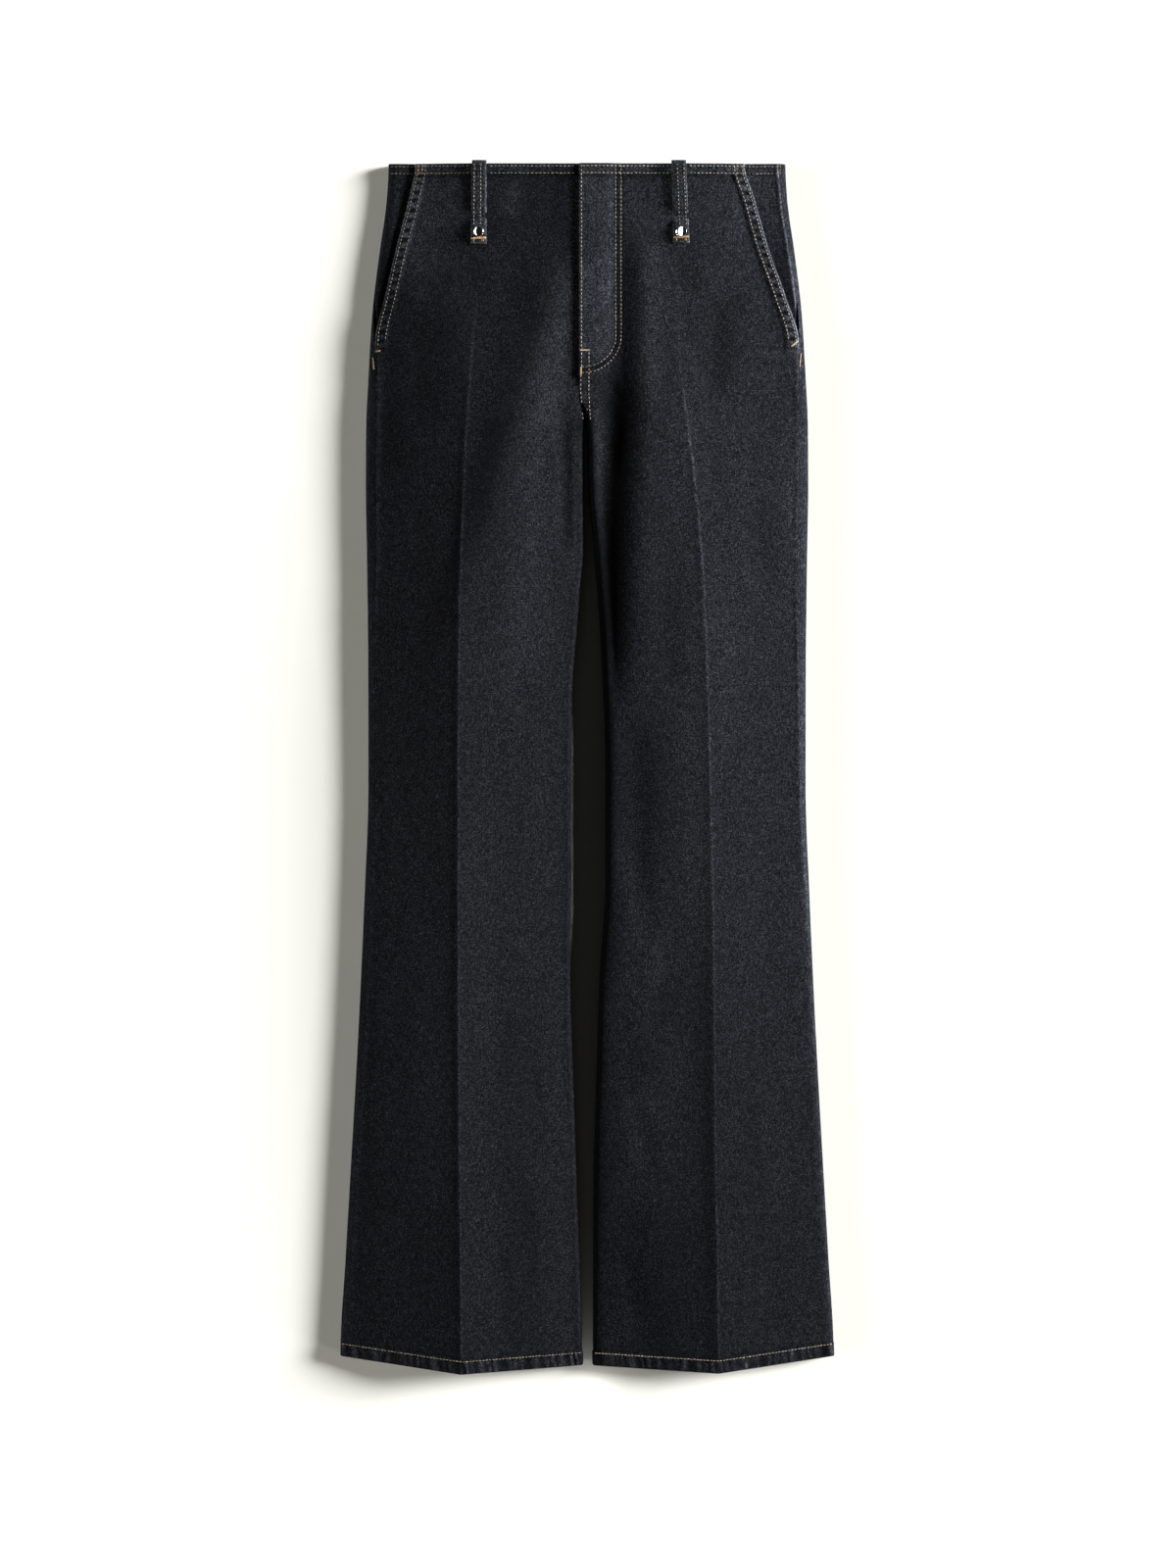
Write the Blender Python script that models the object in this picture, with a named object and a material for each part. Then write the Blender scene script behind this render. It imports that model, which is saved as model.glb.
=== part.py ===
"""Bootcut jeans, laid flat with the front up.

Metres, +Z up. The waist lies towards +Y, the hems towards -Y, and +X is the wearer's left.
The origin is under the middle of the garment, on the surface that it lies on.

Each panel is a wall of cloth. Its outer face is worked out from cross-sections of the garment:
a drop below the waist edge picks the section, and a section runs from the centre front (or, below
the crotch, from the inseam) over the pressed crease to the side seam, and from there round the
edge and along the flat underside. Tables and sizes are in millimetres.
"""

import math

import bmesh
import bpy
from mathutils import Vector

MM = 0.001

# Lengths down the garment, measured from the waist edge
LEG_SPLIT_DROP = 216
CROTCH_DROP = 238
HEM_DROP = 1095
CREASE_DIP = 15
INSEAM_DIP = 8.5
DIP_LENGTH = 135

# The cloth
WALL = 1.4
SEAM_GAP = 0.3
HEM_DEPTH = 12
HEM_RAISE = 0.8
WAIST_EDGE_DEPTH = 9.5
WAIST_EDGE_RAISE = 0.7
TURNING = 1.5

# The rounded edges of the flattened tube
SIDE_ROUND = 10
INSEAM_ROLL = 5
INSEAM_HEIGHT_SHARE = 0.45
MIDDLE_X = -1.5
CROTCH_ANGLE = math.radians(60)
CROTCH_TURN = 24

# The fly: the left front laps over the right one
FLY_EDGE_X = -7.35
FLY_LIFT = 2.6
UNDERLAP_REACH = 14
UNDERLAP_COVER = 10
UNDERLAP_END_DROPS = (150, 186)
FLY_FALL = 21
FLY_END_DROP = 188
FLY_FADE = 24
FLY_COLUMNS = (0, 10, 24, 36, 40, 44)

# The slanted pockets
POCKET_BAND = 11
POCKET_BAND_RAISE = 0.9
POCKET_END_DROP = 165
POCKET_BAND_FADE = 12
POCKET_COLUMN_FADE = 80
FACING_TUCK = 14
FACING_DEPTH = 2.4
FACING_SINK_DROPS = (118, 148)
FACING_LEAST_WIDTH = 2.5

# Belt loops and their studs
LOOP_THICKNESS = 2.2
LOOP_STAND_OFF = 5.2
LOOP_EDGE_GAP = 0.5
LOOP_EDGE_WIDTH = 1.0
LOOP_EDGE_HEIGHT = 0.4
STUD_DROP = 63
STUD_RADIUS = 5
STUD_BEVEL = 0.3
STUD_DOME_HEIGHT = 2.0
STUD_RIM_WIDTH = 0.2
STUD_RIM_HEIGHT = 0.9

# How finely a panel is divided
ROLL_STEPS = 3
INNER_COLUMNS = 11
OUTER_COLUMNS = 8
ROUND_STEPS = 4
FLAT_STEPS = 5
FACING_STEPS = 3
FINE_STEPS = 30
LOOP_STEPS = 16
STUD_SEGMENTS = 20
STUD_DOME_STEPS = 4
SEAT_DROPS = (34, 57, 80, 103, 126, 148, POCKET_END_DROP, 176, 186, 200, LEG_SPLIT_DROP)
CROTCH_DROPS = (224, 231, CROTCH_DROP, 245, 254, 270)
LEG_ROW_SPACING = 36
SHARP_ANGLE = math.radians(40)

SIDES = {"right": -1, "left": 1}


def named_rows(columns, rows):
    """A table in which each row has a name: gives a dictionary of sizes for each."""
    return {name: dict(zip(columns, row)) for name, row in rows.items()}


class Table:
    """Rows of sizes down the garment, with smooth values between them."""

    def __init__(self, columns, *rows):
        self.drops = [row[0] for row in rows]
        self.values = {name: [row[k] for row in rows] for k, name in enumerate(columns)}

    def slope(self, values, k):
        """The tangent at row k: the harmonic mean of its neighbours' slopes, so nothing overshoots."""
        if k in (0, len(values) - 1):
            return 0.0
        before = (values[k] - values[k - 1]) / (self.drops[k] - self.drops[k - 1])
        after = (values[k + 1] - values[k]) / (self.drops[k + 1] - self.drops[k])
        if before * after <= 0:
            return 0.0
        return 2 * before * after / (before + after)

    def at(self, name, drop):
        values = self.values[name]
        if drop <= self.drops[0]:
            return values[0]
        if drop >= self.drops[-1]:
            return values[-1]
        k = max(i for i, d in enumerate(self.drops) if d <= drop)
        span = self.drops[k + 1] - self.drops[k]
        t = (drop - self.drops[k]) / span
        start = self.slope(values, k) * span
        end = self.slope(values, k + 1) * span
        return (
            (2 * t**3 - 3 * t**2 + 1) * values[k]
            + (t**3 - 2 * t**2 + t) * start
            + (3 * t**2 - 2 * t**3) * values[k + 1]
            + (t**3 - t**2) * end
        )


# Half the width of the flattened garment, and how far each side seam lies in from its edge
OUTLINE = Table(
    ("drop", "half_width", "seam_right", "seam_left"),
    (0, 182.5, 0.5, 5.8),
    (30, 184.0, 0.5, 5.2),
    (84, 191.2, 0.5, 4.4),
    (138, 197.5, 1.5, 3.4),
    (192, 200.8, 7.5, 6.5),
    (246, 203.2, 9.0, 9.0),
    (300, 203.4, 9.0, 9.0),
    (354, 202.5, 8.5, 9.0),
    (462, 201.2, 3.0, 6.0),
    (570, 201.0, 4.0, 4.0),
    (678, 204.8, 4.5, 2.0),
    (786, 209.7, 5.0, 0.5),
    (894, 215.6, 4.5, 0.3),
    (1002, 221.8, 4.0, 0.3),
    (1095, 226.8, 1.5, 0.3),
)

# The inner edge of each leg, from the crotch point down
LEG_EDGES = Table(
    ("drop", "right", "left"),
    (CROTCH_DROP, MIDDLE_X - SEAM_GAP / 2, MIDDLE_X + SEAM_GAP / 2),
    (252, -2.7, 2.2),
    (300, -2.7, 5.4),
    (354, -2.7, 8.3),
    (390, -6.3, 9.9),
    (426, -9.0, 12.6),
    (480, -13.5, 14.4),
    (540, -14.4, 16.7),
    (660, -14.4, 16.7),
    (750, -15.3, 11.3),
    (840, -12.6, 8.6),
    (930, -9.5, 5.9),
    (1095, -4.5, 5.4),
)

# The relief of the top: the creases, their height, and the height beside the middle and the sides
RELIEF = Table(
    ("drop", "crease_right", "crease_left", "top_right", "top_left", "middle", "side"),
    (0, 97, 88, 13.0, 13.0, 12.5, 9.0),
    (84, 99, 87, 15.0, 14.5, 13.5, 10.0),
    (163, 104, 84, 18.5, 16.0, 14.5, 11.0),
    (238, 110, 92, 23.0, 17.5, 14.5, 12.0),
    (311, 113.5, 101, 26.5, 19.0, 13.0, 12.0),
    (408, 117, 108, 29.0, 20.0, 11.0, 12.0),
    (570, 118, 113, 30.0, 20.0, 9.5, 11.5),
    (731, 118, 116, 30.0, 20.0, 9.5, 11.0),
    (894, 117, 117.5, 29.5, 20.0, 9.5, 11.0),
    (1095, 115.2, 120.6, 27.0, 20.0, 9.5, 10.5),
)
PRESSED_FROM = 120
PRESSED_TO = 330

# The slanted pocket edges, measured from the middle
POCKET_EDGES = Table(
    ("drop", "right", "left"),
    (0, 157.5, 144.5),
    (33, 163.8, 154.0),
    (76, 174.8, 166.1),
    (122, 185.5, 182.3),
    (POCKET_END_DROP, 194.5, 194.5),
)

# The largest folds: straight troughs (height below 0) and ridges
FOLDS = named_rows(
    ("from_drop", "from_x", "to_drop", "to_x", "half_width", "height"),
    {
        "deep valley beside the fly": (55, 40, 300, 30, 10, -4.5),
        "deep valley down the inner thigh": (190, 35, 520, 15, 10, -6.5),
        "drag line from the fly to the crease": (70, -34, 345, -112, 22, 4.0),
        "hollow beside the fly edge": (0, -14, 190, -15, 9, -1.6),
        "hollow beside the right inseam": (215, -21, 370, -21, 7, -3.0),
        "hollow under the right pocket": (120, -160, 260, -150, 16, -1.8),
        "hollow under the left pocket": (110, 118, 225, 112, 14, -1.8),
        "inner thigh, left leg": (500, 42, 690, 48, 16, -1.8),
    },
)
FOLD_FADE_SHARE = 0.22
FOLD_EDGE_FADE = 9

# Where each belt loop runs, its width at the top and at the bottom, and its length
LOOPS = named_rows(
    ("top_x", "bottom_x", "top_width", "bottom_width", "length"),
    {
        "right": (-98.9, -99.5, 13.2, 14.8, 74),
        "left": (84.2, 86.6, 13.2, 15.0, 73),
    },
)

# The course of a belt loop: the height of its underside over the front, by the share of its length
LOOP_COURSE = Table(
    ("share", "height"),
    (0.00, LOOP_STAND_OFF - 1.3),
    (0.12, LOOP_STAND_OFF),
    (0.48, LOOP_STAND_OFF),
    (0.60, 2.6),
    (0.72, 0.6),
    (0.80, SEAM_GAP),
    (1.00, SEAM_GAP),
)

# Where it turns down past the waist edge: the share of the gap to that edge, and the height
LOOP_TURN = ((0.7, LOOP_STAND_OFF - 3.4), (1.0, -0.6), (1.0, -2.6))

WAIST_Y = (HEM_DROP + CREASE_DIP - LOOP_EDGE_GAP - LOOP_THICKNESS) / 2


def smooth(t):
    t = min(max(t, 0.0), 1.0)
    return t * t * (3 - 2 * t)


def mix(a, b, share):
    return a + (b - a) * share


# ---------------------------------------------------------------- the shape of the top


def leg_share(drop):
    """0 where both fronts lie side by side, 1 from the crotch down, where each leg is a tube."""
    return smooth((drop - LEG_SPLIT_DROP) / (CROTCH_DROP - LEG_SPLIT_DROP))


def front_edge(side, drop):
    """Where a front ends towards the middle: at the fly, then the rise seam, then the inseam."""
    if drop >= CROTCH_DROP:
        return LEG_EDGES.at(side, drop)
    rise = mix(FLY_EDGE_X, MIDDLE_X, leg_share(drop)) + SIDES[side] * SEAM_GAP / 2
    if side == "left":
        return rise
    start, end = UNDERLAP_END_DROPS
    return mix(UNDERLAP_REACH, rise, smooth((drop - start) / (end - start)))


def back_edge(side, drop):
    """Where a back ends towards the middle: at the centre back seam, then the inseam."""
    if drop >= CROTCH_DROP:
        return LEG_EDGES.at(side, drop)
    return MIDDLE_X + SIDES[side] * SEAM_GAP / 2


def round_start(drop):
    """The distance from the middle at which the edge of the garment starts to round down."""
    return OUTLINE.at("half_width", drop) - SIDE_ROUND


def shoulder(side, drop):
    """The distance from the middle at which the top of a leg starts to round down to its inseam."""
    edge = SIDES[side] * back_edge(side, drop)
    return leg_share(drop) * (edge + INSEAM_ROLL)


def pressed(t, drop):
    """From shoulder (0) to crease (1): a soft dome at the waist that turns into a straight slope."""
    dome = 0.5 - 0.5 * math.cos(math.pi * t)
    return mix(dome, t, smooth((drop - PRESSED_FROM) / (PRESSED_TO - PRESSED_FROM)))


def fold_height(x, drop):
    """What the folds add to the height of the top face."""
    total = 0.0
    for fold in FOLDS.values():
        t = (drop - fold["from_drop"]) / (fold["to_drop"] - fold["from_drop"])
        fade = smooth(t / FOLD_FADE_SHARE) * smooth((1 - t) / FOLD_FADE_SHARE)
        across = (x - mix(fold["from_x"], fold["to_x"], t)) / fold["half_width"]
        total += fold["height"] * fade * math.exp(-across * across)
    return total


def top_height(x, drop):
    """The height of the garment's top face, without the laps and the turned edges."""
    side = "right" if x < MIDDLE_X else "left"
    reach = abs(x)
    crease = RELIEF.at("crease_" + side, drop)
    top = RELIEF.at("top_" + side, drop)
    at_side = RELIEF.at("side", drop)
    start = shoulder(side, drop)
    end = round_start(drop)
    if reach > end:
        across = min((reach - end) / SIDE_ROUND, 1.0)
        return at_side / 2 * (1 + math.sqrt(1 - across * across))
    if reach > crease:
        height = mix(at_side, top, pressed((end - reach) / (end - crease), drop))
    else:
        t = max((reach - start) / (crease - start), 0.0)
        height = mix(RELIEF.at("middle", drop), top, pressed(t, drop))
    room_at_inseam = mix(1.0, smooth((reach - start) / FOLD_EDGE_FADE), leg_share(drop))
    room_at_side = smooth((end - reach) / FOLD_EDGE_FADE)
    return height + fold_height(x, drop) * room_at_inseam * room_at_side


def fly_lift(x, drop):
    """How far the left front stands above the right one, which continues under its edge."""
    across = 1 - smooth((x - UNDERLAP_REACH) / FLY_FALL)
    down = 1 - smooth((drop - FLY_END_DROP) / FLY_FADE)
    return FLY_LIFT * across * down


def hem_dip(side, reach, drop):
    """The extra length towards the crease, where the hem reaches lowest."""
    crease = RELIEF.at("crease_" + side, drop)
    inner = abs(back_edge(side, drop))
    outer = OUTLINE.at("half_width", drop)
    if reach > crease:
        dip = CREASE_DIP * (outer - reach) / (outer - crease)
    else:
        dip = mix(CREASE_DIP, INSEAM_DIP, (crease - reach) / (crease - inner))
    return dip * smooth((drop - HEM_DROP + DIP_LENGTH) / DIP_LENGTH)


def back_dip(side, reach, drop):
    """The same for a back, which reaches as low as the front only at the inseam."""
    inner = abs(back_edge(side, drop))
    outer = OUTLINE.at("half_width", drop)
    dip = INSEAM_DIP * (outer - reach) / (outer - inner)
    return dip * smooth((drop - HEM_DROP + DIP_LENGTH) / DIP_LENGTH)


# ---------------------------------------------------------------- sections


def seam_angle(side, drop):
    """Where the side seam lies on the rounded edge: 0 at its outermost line, 90 degrees on top."""
    inset = OUTLINE.at("seam_" + side, drop)
    return math.acos(1 - inset / SIDE_ROUND)


def half_gap_angle(angle, drop):
    """Half of the gap at a seam, as an angle on the rounded edge."""
    half_height = RELIEF.at("side", drop) / 2
    speed = math.hypot(SIDE_ROUND * math.sin(angle), half_height * math.cos(angle))
    return SEAM_GAP / 2 / speed


def round_normal(side, angle, drop):
    half_height = RELIEF.at("side", drop) / 2
    normal = Vector(
        (SIDES[side] * math.cos(angle) / SIDE_ROUND, 0, math.sin(angle) / half_height)
    )
    return normal.normalized()


def front_limit(side, drop):
    """The distance from the middle of a front's outer edge: its pocket edge, then the side seam."""
    angle = seam_angle(side, drop)
    angle += half_gap_angle(angle, drop)
    seam = round_start(drop) + SIDE_ROUND * math.cos(angle)
    if drop > POCKET_END_DROP:
        return seam
    return min(seam, POCKET_EDGES.at(side, drop))


def spaced(marks, total, steps):
    """The marks, then even steps up to the total."""
    rest = steps - (len(marks) - 1)
    last = marks[-1]
    return list(marks) + [mix(last, total, (k + 1) / rest) for k in range(rest)]


def along(points, distances):
    """Points at the given distances along a line of points."""
    lengths = [0.0]
    for a, b in zip(points, points[1:]):
        lengths.append(lengths[-1] + (b - a).length)
    found = []
    for distance in distances:
        distance = min(max(distance, 0.0), lengths[-1])
        k = max(i for i, length in enumerate(lengths[:-1]) if length <= distance)
        t = (distance - lengths[k]) / (lengths[k + 1] - lengths[k])
        found.append(points[k].lerp(points[k + 1], t))
    return found


def roll_point(side, drop, k, edge, front):
    """A point on the round at the inseam; k runs from the seam up to the shoulder, or down."""
    angle = math.pi / 2 * k / ROLL_STEPS
    top = RELIEF.at("middle", drop)
    seam = INSEAM_HEIGHT_SHARE * top
    x = edge + SIDES[side] * INSEAM_ROLL * (1 - math.cos(angle))
    if front:
        low = seam + SEAM_GAP / 2
        return Vector((x, 0, low + (top - low) * math.sin(angle)))
    return Vector((x, 0, (seam - SEAM_GAP / 2) * (1 - math.sin(angle))))


def inner_stretch(side, drop):
    """A front's points from its inner edge to its crease."""
    sign = SIDES[side]
    leg = leg_share(drop)
    edge = front_edge(side, drop)
    crease = sign * RELIEF.at("crease_" + side, drop)
    marks = FLY_COLUMNS if side == "left" else (0,)
    steps = spaced(marks, abs(crease - edge), INNER_COLUMNS)
    leg_steps = INNER_COLUMNS - ROLL_STEPS
    points = []
    for k in range(INNER_COLUMNS + 1):
        x = edge + sign * steps[k]
        if k > ROLL_STEPS:
            rolled_x = mix(edge + sign * INSEAM_ROLL, crease, (k - ROLL_STEPS) / leg_steps)
            x = mix(x, rolled_x, leg)
        lift = fly_lift(x, drop) if side == "left" else 0.0
        point = Vector((x, 0, top_height(x, drop) + lift))
        if k <= ROLL_STEPS:
            point = point.lerp(roll_point(side, drop, k, edge, front=True), leg)
        points.append(point)
    return points


def outer_stretch(side, drop):
    """A front's points from its crease to its pocket edge or side seam."""
    sign = SIDES[side]
    crease = RELIEF.at("crease_" + side, drop)
    limit = front_limit(side, drop)
    fine = []
    for k in range(FINE_STEPS + 1):
        x = sign * mix(limit, crease, (k / FINE_STEPS) ** 2)
        fine.append(Vector((x, 0, top_height(x, drop))))
    total = sum((b - a).length for a, b in zip(fine, fine[1:]))
    band = (0, POCKET_BAND, POCKET_BAND + TURNING)
    even = [total * k / OUTER_COLUMNS for k in range(OUTER_COLUMNS + 1)]
    share = smooth((drop - POCKET_END_DROP) / POCKET_COLUMN_FADE)
    steps = [mix(a, b, share) for a, b in zip(spaced(band, total, OUTER_COLUMNS), even)]
    return along(fine, steps)[::-1]


def front_section(side, drop):
    points = inner_stretch(side, drop)
    points += outer_stretch(side, drop)[1:]
    for point in points:
        point.y = WAIST_Y - drop - hem_dip(side, abs(point.x), drop)
    return points


def back_section(side, drop):
    """A back's points from its side seam round the edge and along the underside to its inseam."""
    sign = SIDES[side]
    start = round_start(drop)
    half_height = RELIEF.at("side", drop) / 2
    angle = seam_angle(side, drop)
    angle -= half_gap_angle(angle, drop)
    points = []
    for k in range(ROUND_STEPS + 1):
        turn = mix(angle, -math.pi / 2, k / ROUND_STEPS)
        x = sign * (start + SIDE_ROUND * math.cos(turn))
        points.append(Vector((x, 0, half_height * (1 + math.sin(turn)))))
    points[-1].z = 0.0
    edge = back_edge(side, drop)
    roll_x = edge + sign * INSEAM_ROLL
    for k in range(1, FLAT_STEPS):
        points.append(Vector((mix(sign * start, roll_x, k / FLAT_STEPS), 0, 0)))
    for k in range(ROLL_STEPS, -1, -1):
        flat = Vector((edge + sign * INSEAM_ROLL * k / ROLL_STEPS, 0, 0))
        rolled = roll_point(side, drop, k, edge, front=False)
        points.append(flat.lerp(rolled, leg_share(drop)))
    for point in points:
        point.y = WAIST_Y - drop - back_dip(side, abs(point.x), drop)
    return points


def inner_normal(side, drop, up):
    """The way that a panel's inner edge faces: up or down at the rise seam, then into the gap."""
    sign = SIDES[side]
    crotch = Vector((-sign * math.cos(CROTCH_ANGLE), -math.sin(CROTCH_ANGLE), 0))
    if drop < CROTCH_DROP:
        return Vector((0, 0, up)).lerp(crotch, leg_share(drop)).normalized()
    share = smooth((drop - CROTCH_DROP) / CROTCH_TURN)
    return crotch.lerp(Vector((-sign, 0, 0)), share).normalized()


# ---------------------------------------------------------------- walls of cloth


def row_drops():
    """The drops of the sections, closer at the waist edge, the crotch and the hem."""
    waist = [0, WAIST_EDGE_DEPTH, WAIST_EDGE_DEPTH + TURNING]
    first = CROTCH_DROPS[-1]
    last = HEM_DROP - HEM_DEPTH - TURNING
    count = round((last - first) / LEG_ROW_SPACING)
    legs = [mix(first, last, (k + 1) / count) for k in range(count)]
    hem = [HEM_DROP - HEM_DEPTH, HEM_DROP]
    return waist + list(SEAT_DROPS) + list(CROTCH_DROPS) + legs + hem


def turned_edge_raise(drop):
    """The second layer of cloth at the turned waist edge and the hem."""
    if drop <= WAIST_EDGE_DEPTH:
        return WAIST_EDGE_RAISE
    if drop >= HEM_DROP - HEM_DEPTH:
        return HEM_RAISE
    return 0.0


def grid_normals(grid, sign):
    """The outward normals of a grid of points, from the differences along its rows and columns."""
    rows, columns = len(grid), len(grid[0])
    normals = []
    for i in range(rows):
        line = []
        for j in range(columns):
            down = grid[min(i + 1, rows - 1)][j] - grid[max(i - 1, 0)][j]
            across = grid[i][min(j + 1, columns - 1)] - grid[i][max(j - 1, 0)]
            line.append((down.cross(across) * sign).normalized())
        normals.append(line)
    return normals


def wall_object(name, grid, normals, raises, colour):
    """A closed wall: the raised outer face, the inner face below it, and the cut edges."""
    rows, columns = len(grid), len(grid[0])
    shape = bmesh.new()
    faces = {}
    for layer, depth in (("outer", 0.0), ("inner", -WALL)):
        for i in range(rows):
            for j in range(columns):
                raised = raises[i][j] if layer == "outer" else min(raises[i][j], 0.0)
                point = grid[i][j] + normals[i][j] * (raised + depth)
                faces[layer, i, j] = shape.verts.new(point * MM)
    for layer in ("outer", "inner"):
        for i in range(rows - 1):
            for j in range(columns - 1):
                corners = ((i, j), (i, j + 1), (i + 1, j + 1), (i + 1, j))
                shape.faces.new([faces[layer, a, b] for a, b in corners])
    rim = [(0, j) for j in range(columns)]
    rim += [(i, columns - 1) for i in range(1, rows)]
    rim += [(rows - 1, j) for j in range(columns - 2, -1, -1)]
    rim += [(i, 0) for i in range(rows - 2, 0, -1)]
    for (a, b), (c, d) in zip(rim, rim[1:] + rim[:1]):
        corners = [("outer", a, b), ("outer", c, d), ("inner", c, d), ("inner", a, b)]
        shape.faces.new([faces[corner] for corner in corners])
    bmesh.ops.recalc_face_normals(shape, faces=shape.faces)
    return new_object(name, shape, colour)


def new_object(name, shape, colour, metallic=0.0, roughness=0.9):
    mesh = bpy.data.meshes.new(name)
    shape.to_mesh(mesh)
    shape.free()
    mesh.shade_smooth()
    mesh.set_sharp_from_angle(angle=SHARP_ANGLE)
    mesh.materials.append(new_material(name, colour, metallic, roughness))
    thing = bpy.data.objects.new(name, mesh)
    bpy.context.scene.collection.objects.link(thing)
    return thing


def new_material(name, colour, metallic, roughness):
    material = bpy.data.materials.new(name)
    material.use_nodes = True
    shader = material.node_tree.nodes["Principled BSDF"]
    shader.inputs["Base Color"].default_value = (*colour, 1)
    shader.inputs["Metallic"].default_value = metallic
    shader.inputs["Roughness"].default_value = roughness
    return material


# ---------------------------------------------------------------- the pieces


def front_edge_angle(side, drop):
    """Where a front's outer edge lies on the rounded side: at the seam, or at the pocket edge."""
    if drop > POCKET_END_DROP:
        return seam_angle(side, drop)
    across = (front_limit(side, drop) - round_start(drop)) / SIDE_ROUND
    return math.acos(min(max(across, 0.0), 1.0))


def front_raises(side, drop, points):
    """What the turned edges add along one section of a front."""
    line = [turned_edge_raise(drop)] * len(points)
    in_pocket = 1 - smooth((drop - POCKET_END_DROP) / POCKET_BAND_FADE)
    for j in (-1, -2):
        line[j] = max(line[j], POCKET_BAND_RAISE * in_pocket)
    if side == "right" and drop < FLY_END_DROP:
        line = [0.0 if point.x > -UNDERLAP_COVER else up for point, up in zip(points, line)]
    return line


def make_front(side, colour):
    drops = row_drops()
    grid = [front_section(side, drop) for drop in drops]
    normals = grid_normals(grid, SIDES[side])
    for i, drop in enumerate(drops):
        normals[i][0] = inner_normal(side, drop, up=1)
        normals[i][-1] = round_normal(side, front_edge_angle(side, drop), drop)
    raises = [front_raises(side, drop, points) for drop, points in zip(drops, grid)]
    return wall_object("front_" + side, grid, normals, raises, colour)


def make_back(side, colour):
    drops = row_drops()
    grid = [back_section(side, drop) for drop in drops]
    normals = grid_normals(grid, SIDES[side])
    for i, drop in enumerate(drops):
        normals[i][0] = round_normal(side, seam_angle(side, drop), drop)
        normals[i][-1] = inner_normal(side, drop, up=-1)
    raises = [[0.0] * len(grid[0]) for _ in drops]
    return wall_object("back_" + side, grid, normals, raises, colour)


def make_pocket_facing(side, colour):
    """The piece behind the slanted opening: it fills out to the side seam, one layer lower."""
    sign = SIDES[side]
    drops = [drop for drop in row_drops() if drop <= POCKET_END_DROP]
    sink_start, sink_end = FACING_SINK_DROPS
    grid = []
    raises = []
    for drop in drops:
        angle = seam_angle(side, drop)
        angle += half_gap_angle(angle, drop)
        seam = round_start(drop) + SIDE_ROUND * math.cos(angle)
        edge = min(POCKET_EDGES.at(side, drop), seam - FACING_LEAST_WIDTH)
        sunk = smooth((drop - sink_start) / (sink_end - sink_start))
        reaches = [edge - FACING_TUCK, edge - FACING_TUCK / 2, edge]
        shares = [1, 1, 1]
        for k in range(1, FACING_STEPS + 1):
            reaches.append(mix(edge, seam, k / FACING_STEPS))
            shares.append(mix(1 - k / FACING_STEPS, 1, sunk))
        places = [sign * reach for reach in reaches]
        grid.append([Vector((x, WAIST_Y - drop, top_height(x, drop))) for x in places])
        raises.append([-FACING_DEPTH * share for share in shares])
    normals = grid_normals(grid, sign)
    for i, drop in enumerate(drops):
        normals[i][-1] = round_normal(side, seam_angle(side, drop), drop)
    return wall_object("pocket_facing_" + side, grid, normals, raises, colour)


def loop_centre(side, drop):
    """The middle of a belt loop at a drop, and its width there."""
    loop = LOOPS[side]
    share = min(max(drop / loop["length"], 0.0), 1.0)
    x = mix(loop["top_x"], loop["bottom_x"], share)
    return x, mix(loop["top_width"], loop["bottom_width"], share)


def front_top(side, x, drop, reach, down=0):
    """The highest point of a front under something that reaches so far across and down."""
    heights = []
    for here in (drop - down, drop, drop + down):
        heights += [top_height(x + a, here) for a in (-reach, 0, reach)]
    return max(heights) + turned_edge_raise(drop)


def loop_underside(side):
    """The line under a belt loop, as (drop, x, height), from its foot over the waist edge."""
    line = []
    for k in range(LOOP_STEPS, -1, -1):
        share = k / LOOP_STEPS
        drop = LOOPS[side]["length"] * share
        x, width = loop_centre(side, drop)
        highest = front_top(side, x, drop, width / 2)
        line.append((drop, x, highest + LOOP_COURSE.at("height", share)))
    x, _ = loop_centre(side, 0)
    edge_top = front_top(side, x, 0, 0)
    for share, height in LOOP_TURN:
        line.append((-LOOP_EDGE_GAP * share, x, edge_top + height))
    return line


def loop_section(width):
    """A flat strip's section with bevelled corners, as (across, out)."""
    half = width / 2
    flat = half - LOOP_EDGE_WIDTH
    low, high = LOOP_EDGE_HEIGHT, LOOP_THICKNESS - LOOP_EDGE_HEIGHT
    right = [(flat, LOOP_THICKNESS), (half, high), (half, low), (flat, 0)]
    left = [(-across, out) for across, out in reversed(right)]
    return right + left


def make_belt_loop(side, colour):
    """A doubled strip of cloth: a closed sweep of a flat section along the loop's course."""
    line = loop_underside(side)
    shape = bmesh.new()
    rings = []
    for k, (drop, x, height) in enumerate(line):
        before = line[max(k - 1, 0)]
        after = line[min(k + 1, len(line) - 1)]
        course = Vector((0, before[0] - after[0], after[2] - before[2])).normalized()
        out = Vector((0, -course.z, course.y))
        base = Vector((x, WAIST_Y - drop, height))
        _, width = loop_centre(side, drop)
        points = [base + Vector((a, 0, 0)) + out * b for a, b in loop_section(width)]
        rings.append([shape.verts.new(point * MM) for point in points])
    join_rings(shape, rings)
    shape.faces.new(rings[0])
    shape.faces.new(rings[-1])
    bmesh.ops.recalc_face_normals(shape, faces=shape.faces)
    return new_object("belt_loop_" + side, shape, colour)


def join_rings(shape, rings):
    for first, second in zip(rings, rings[1:]):
        for a in range(len(first)):
            b = (a + 1) % len(first)
            shape.faces.new((first[a], first[b], second[b], second[a]))


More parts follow.
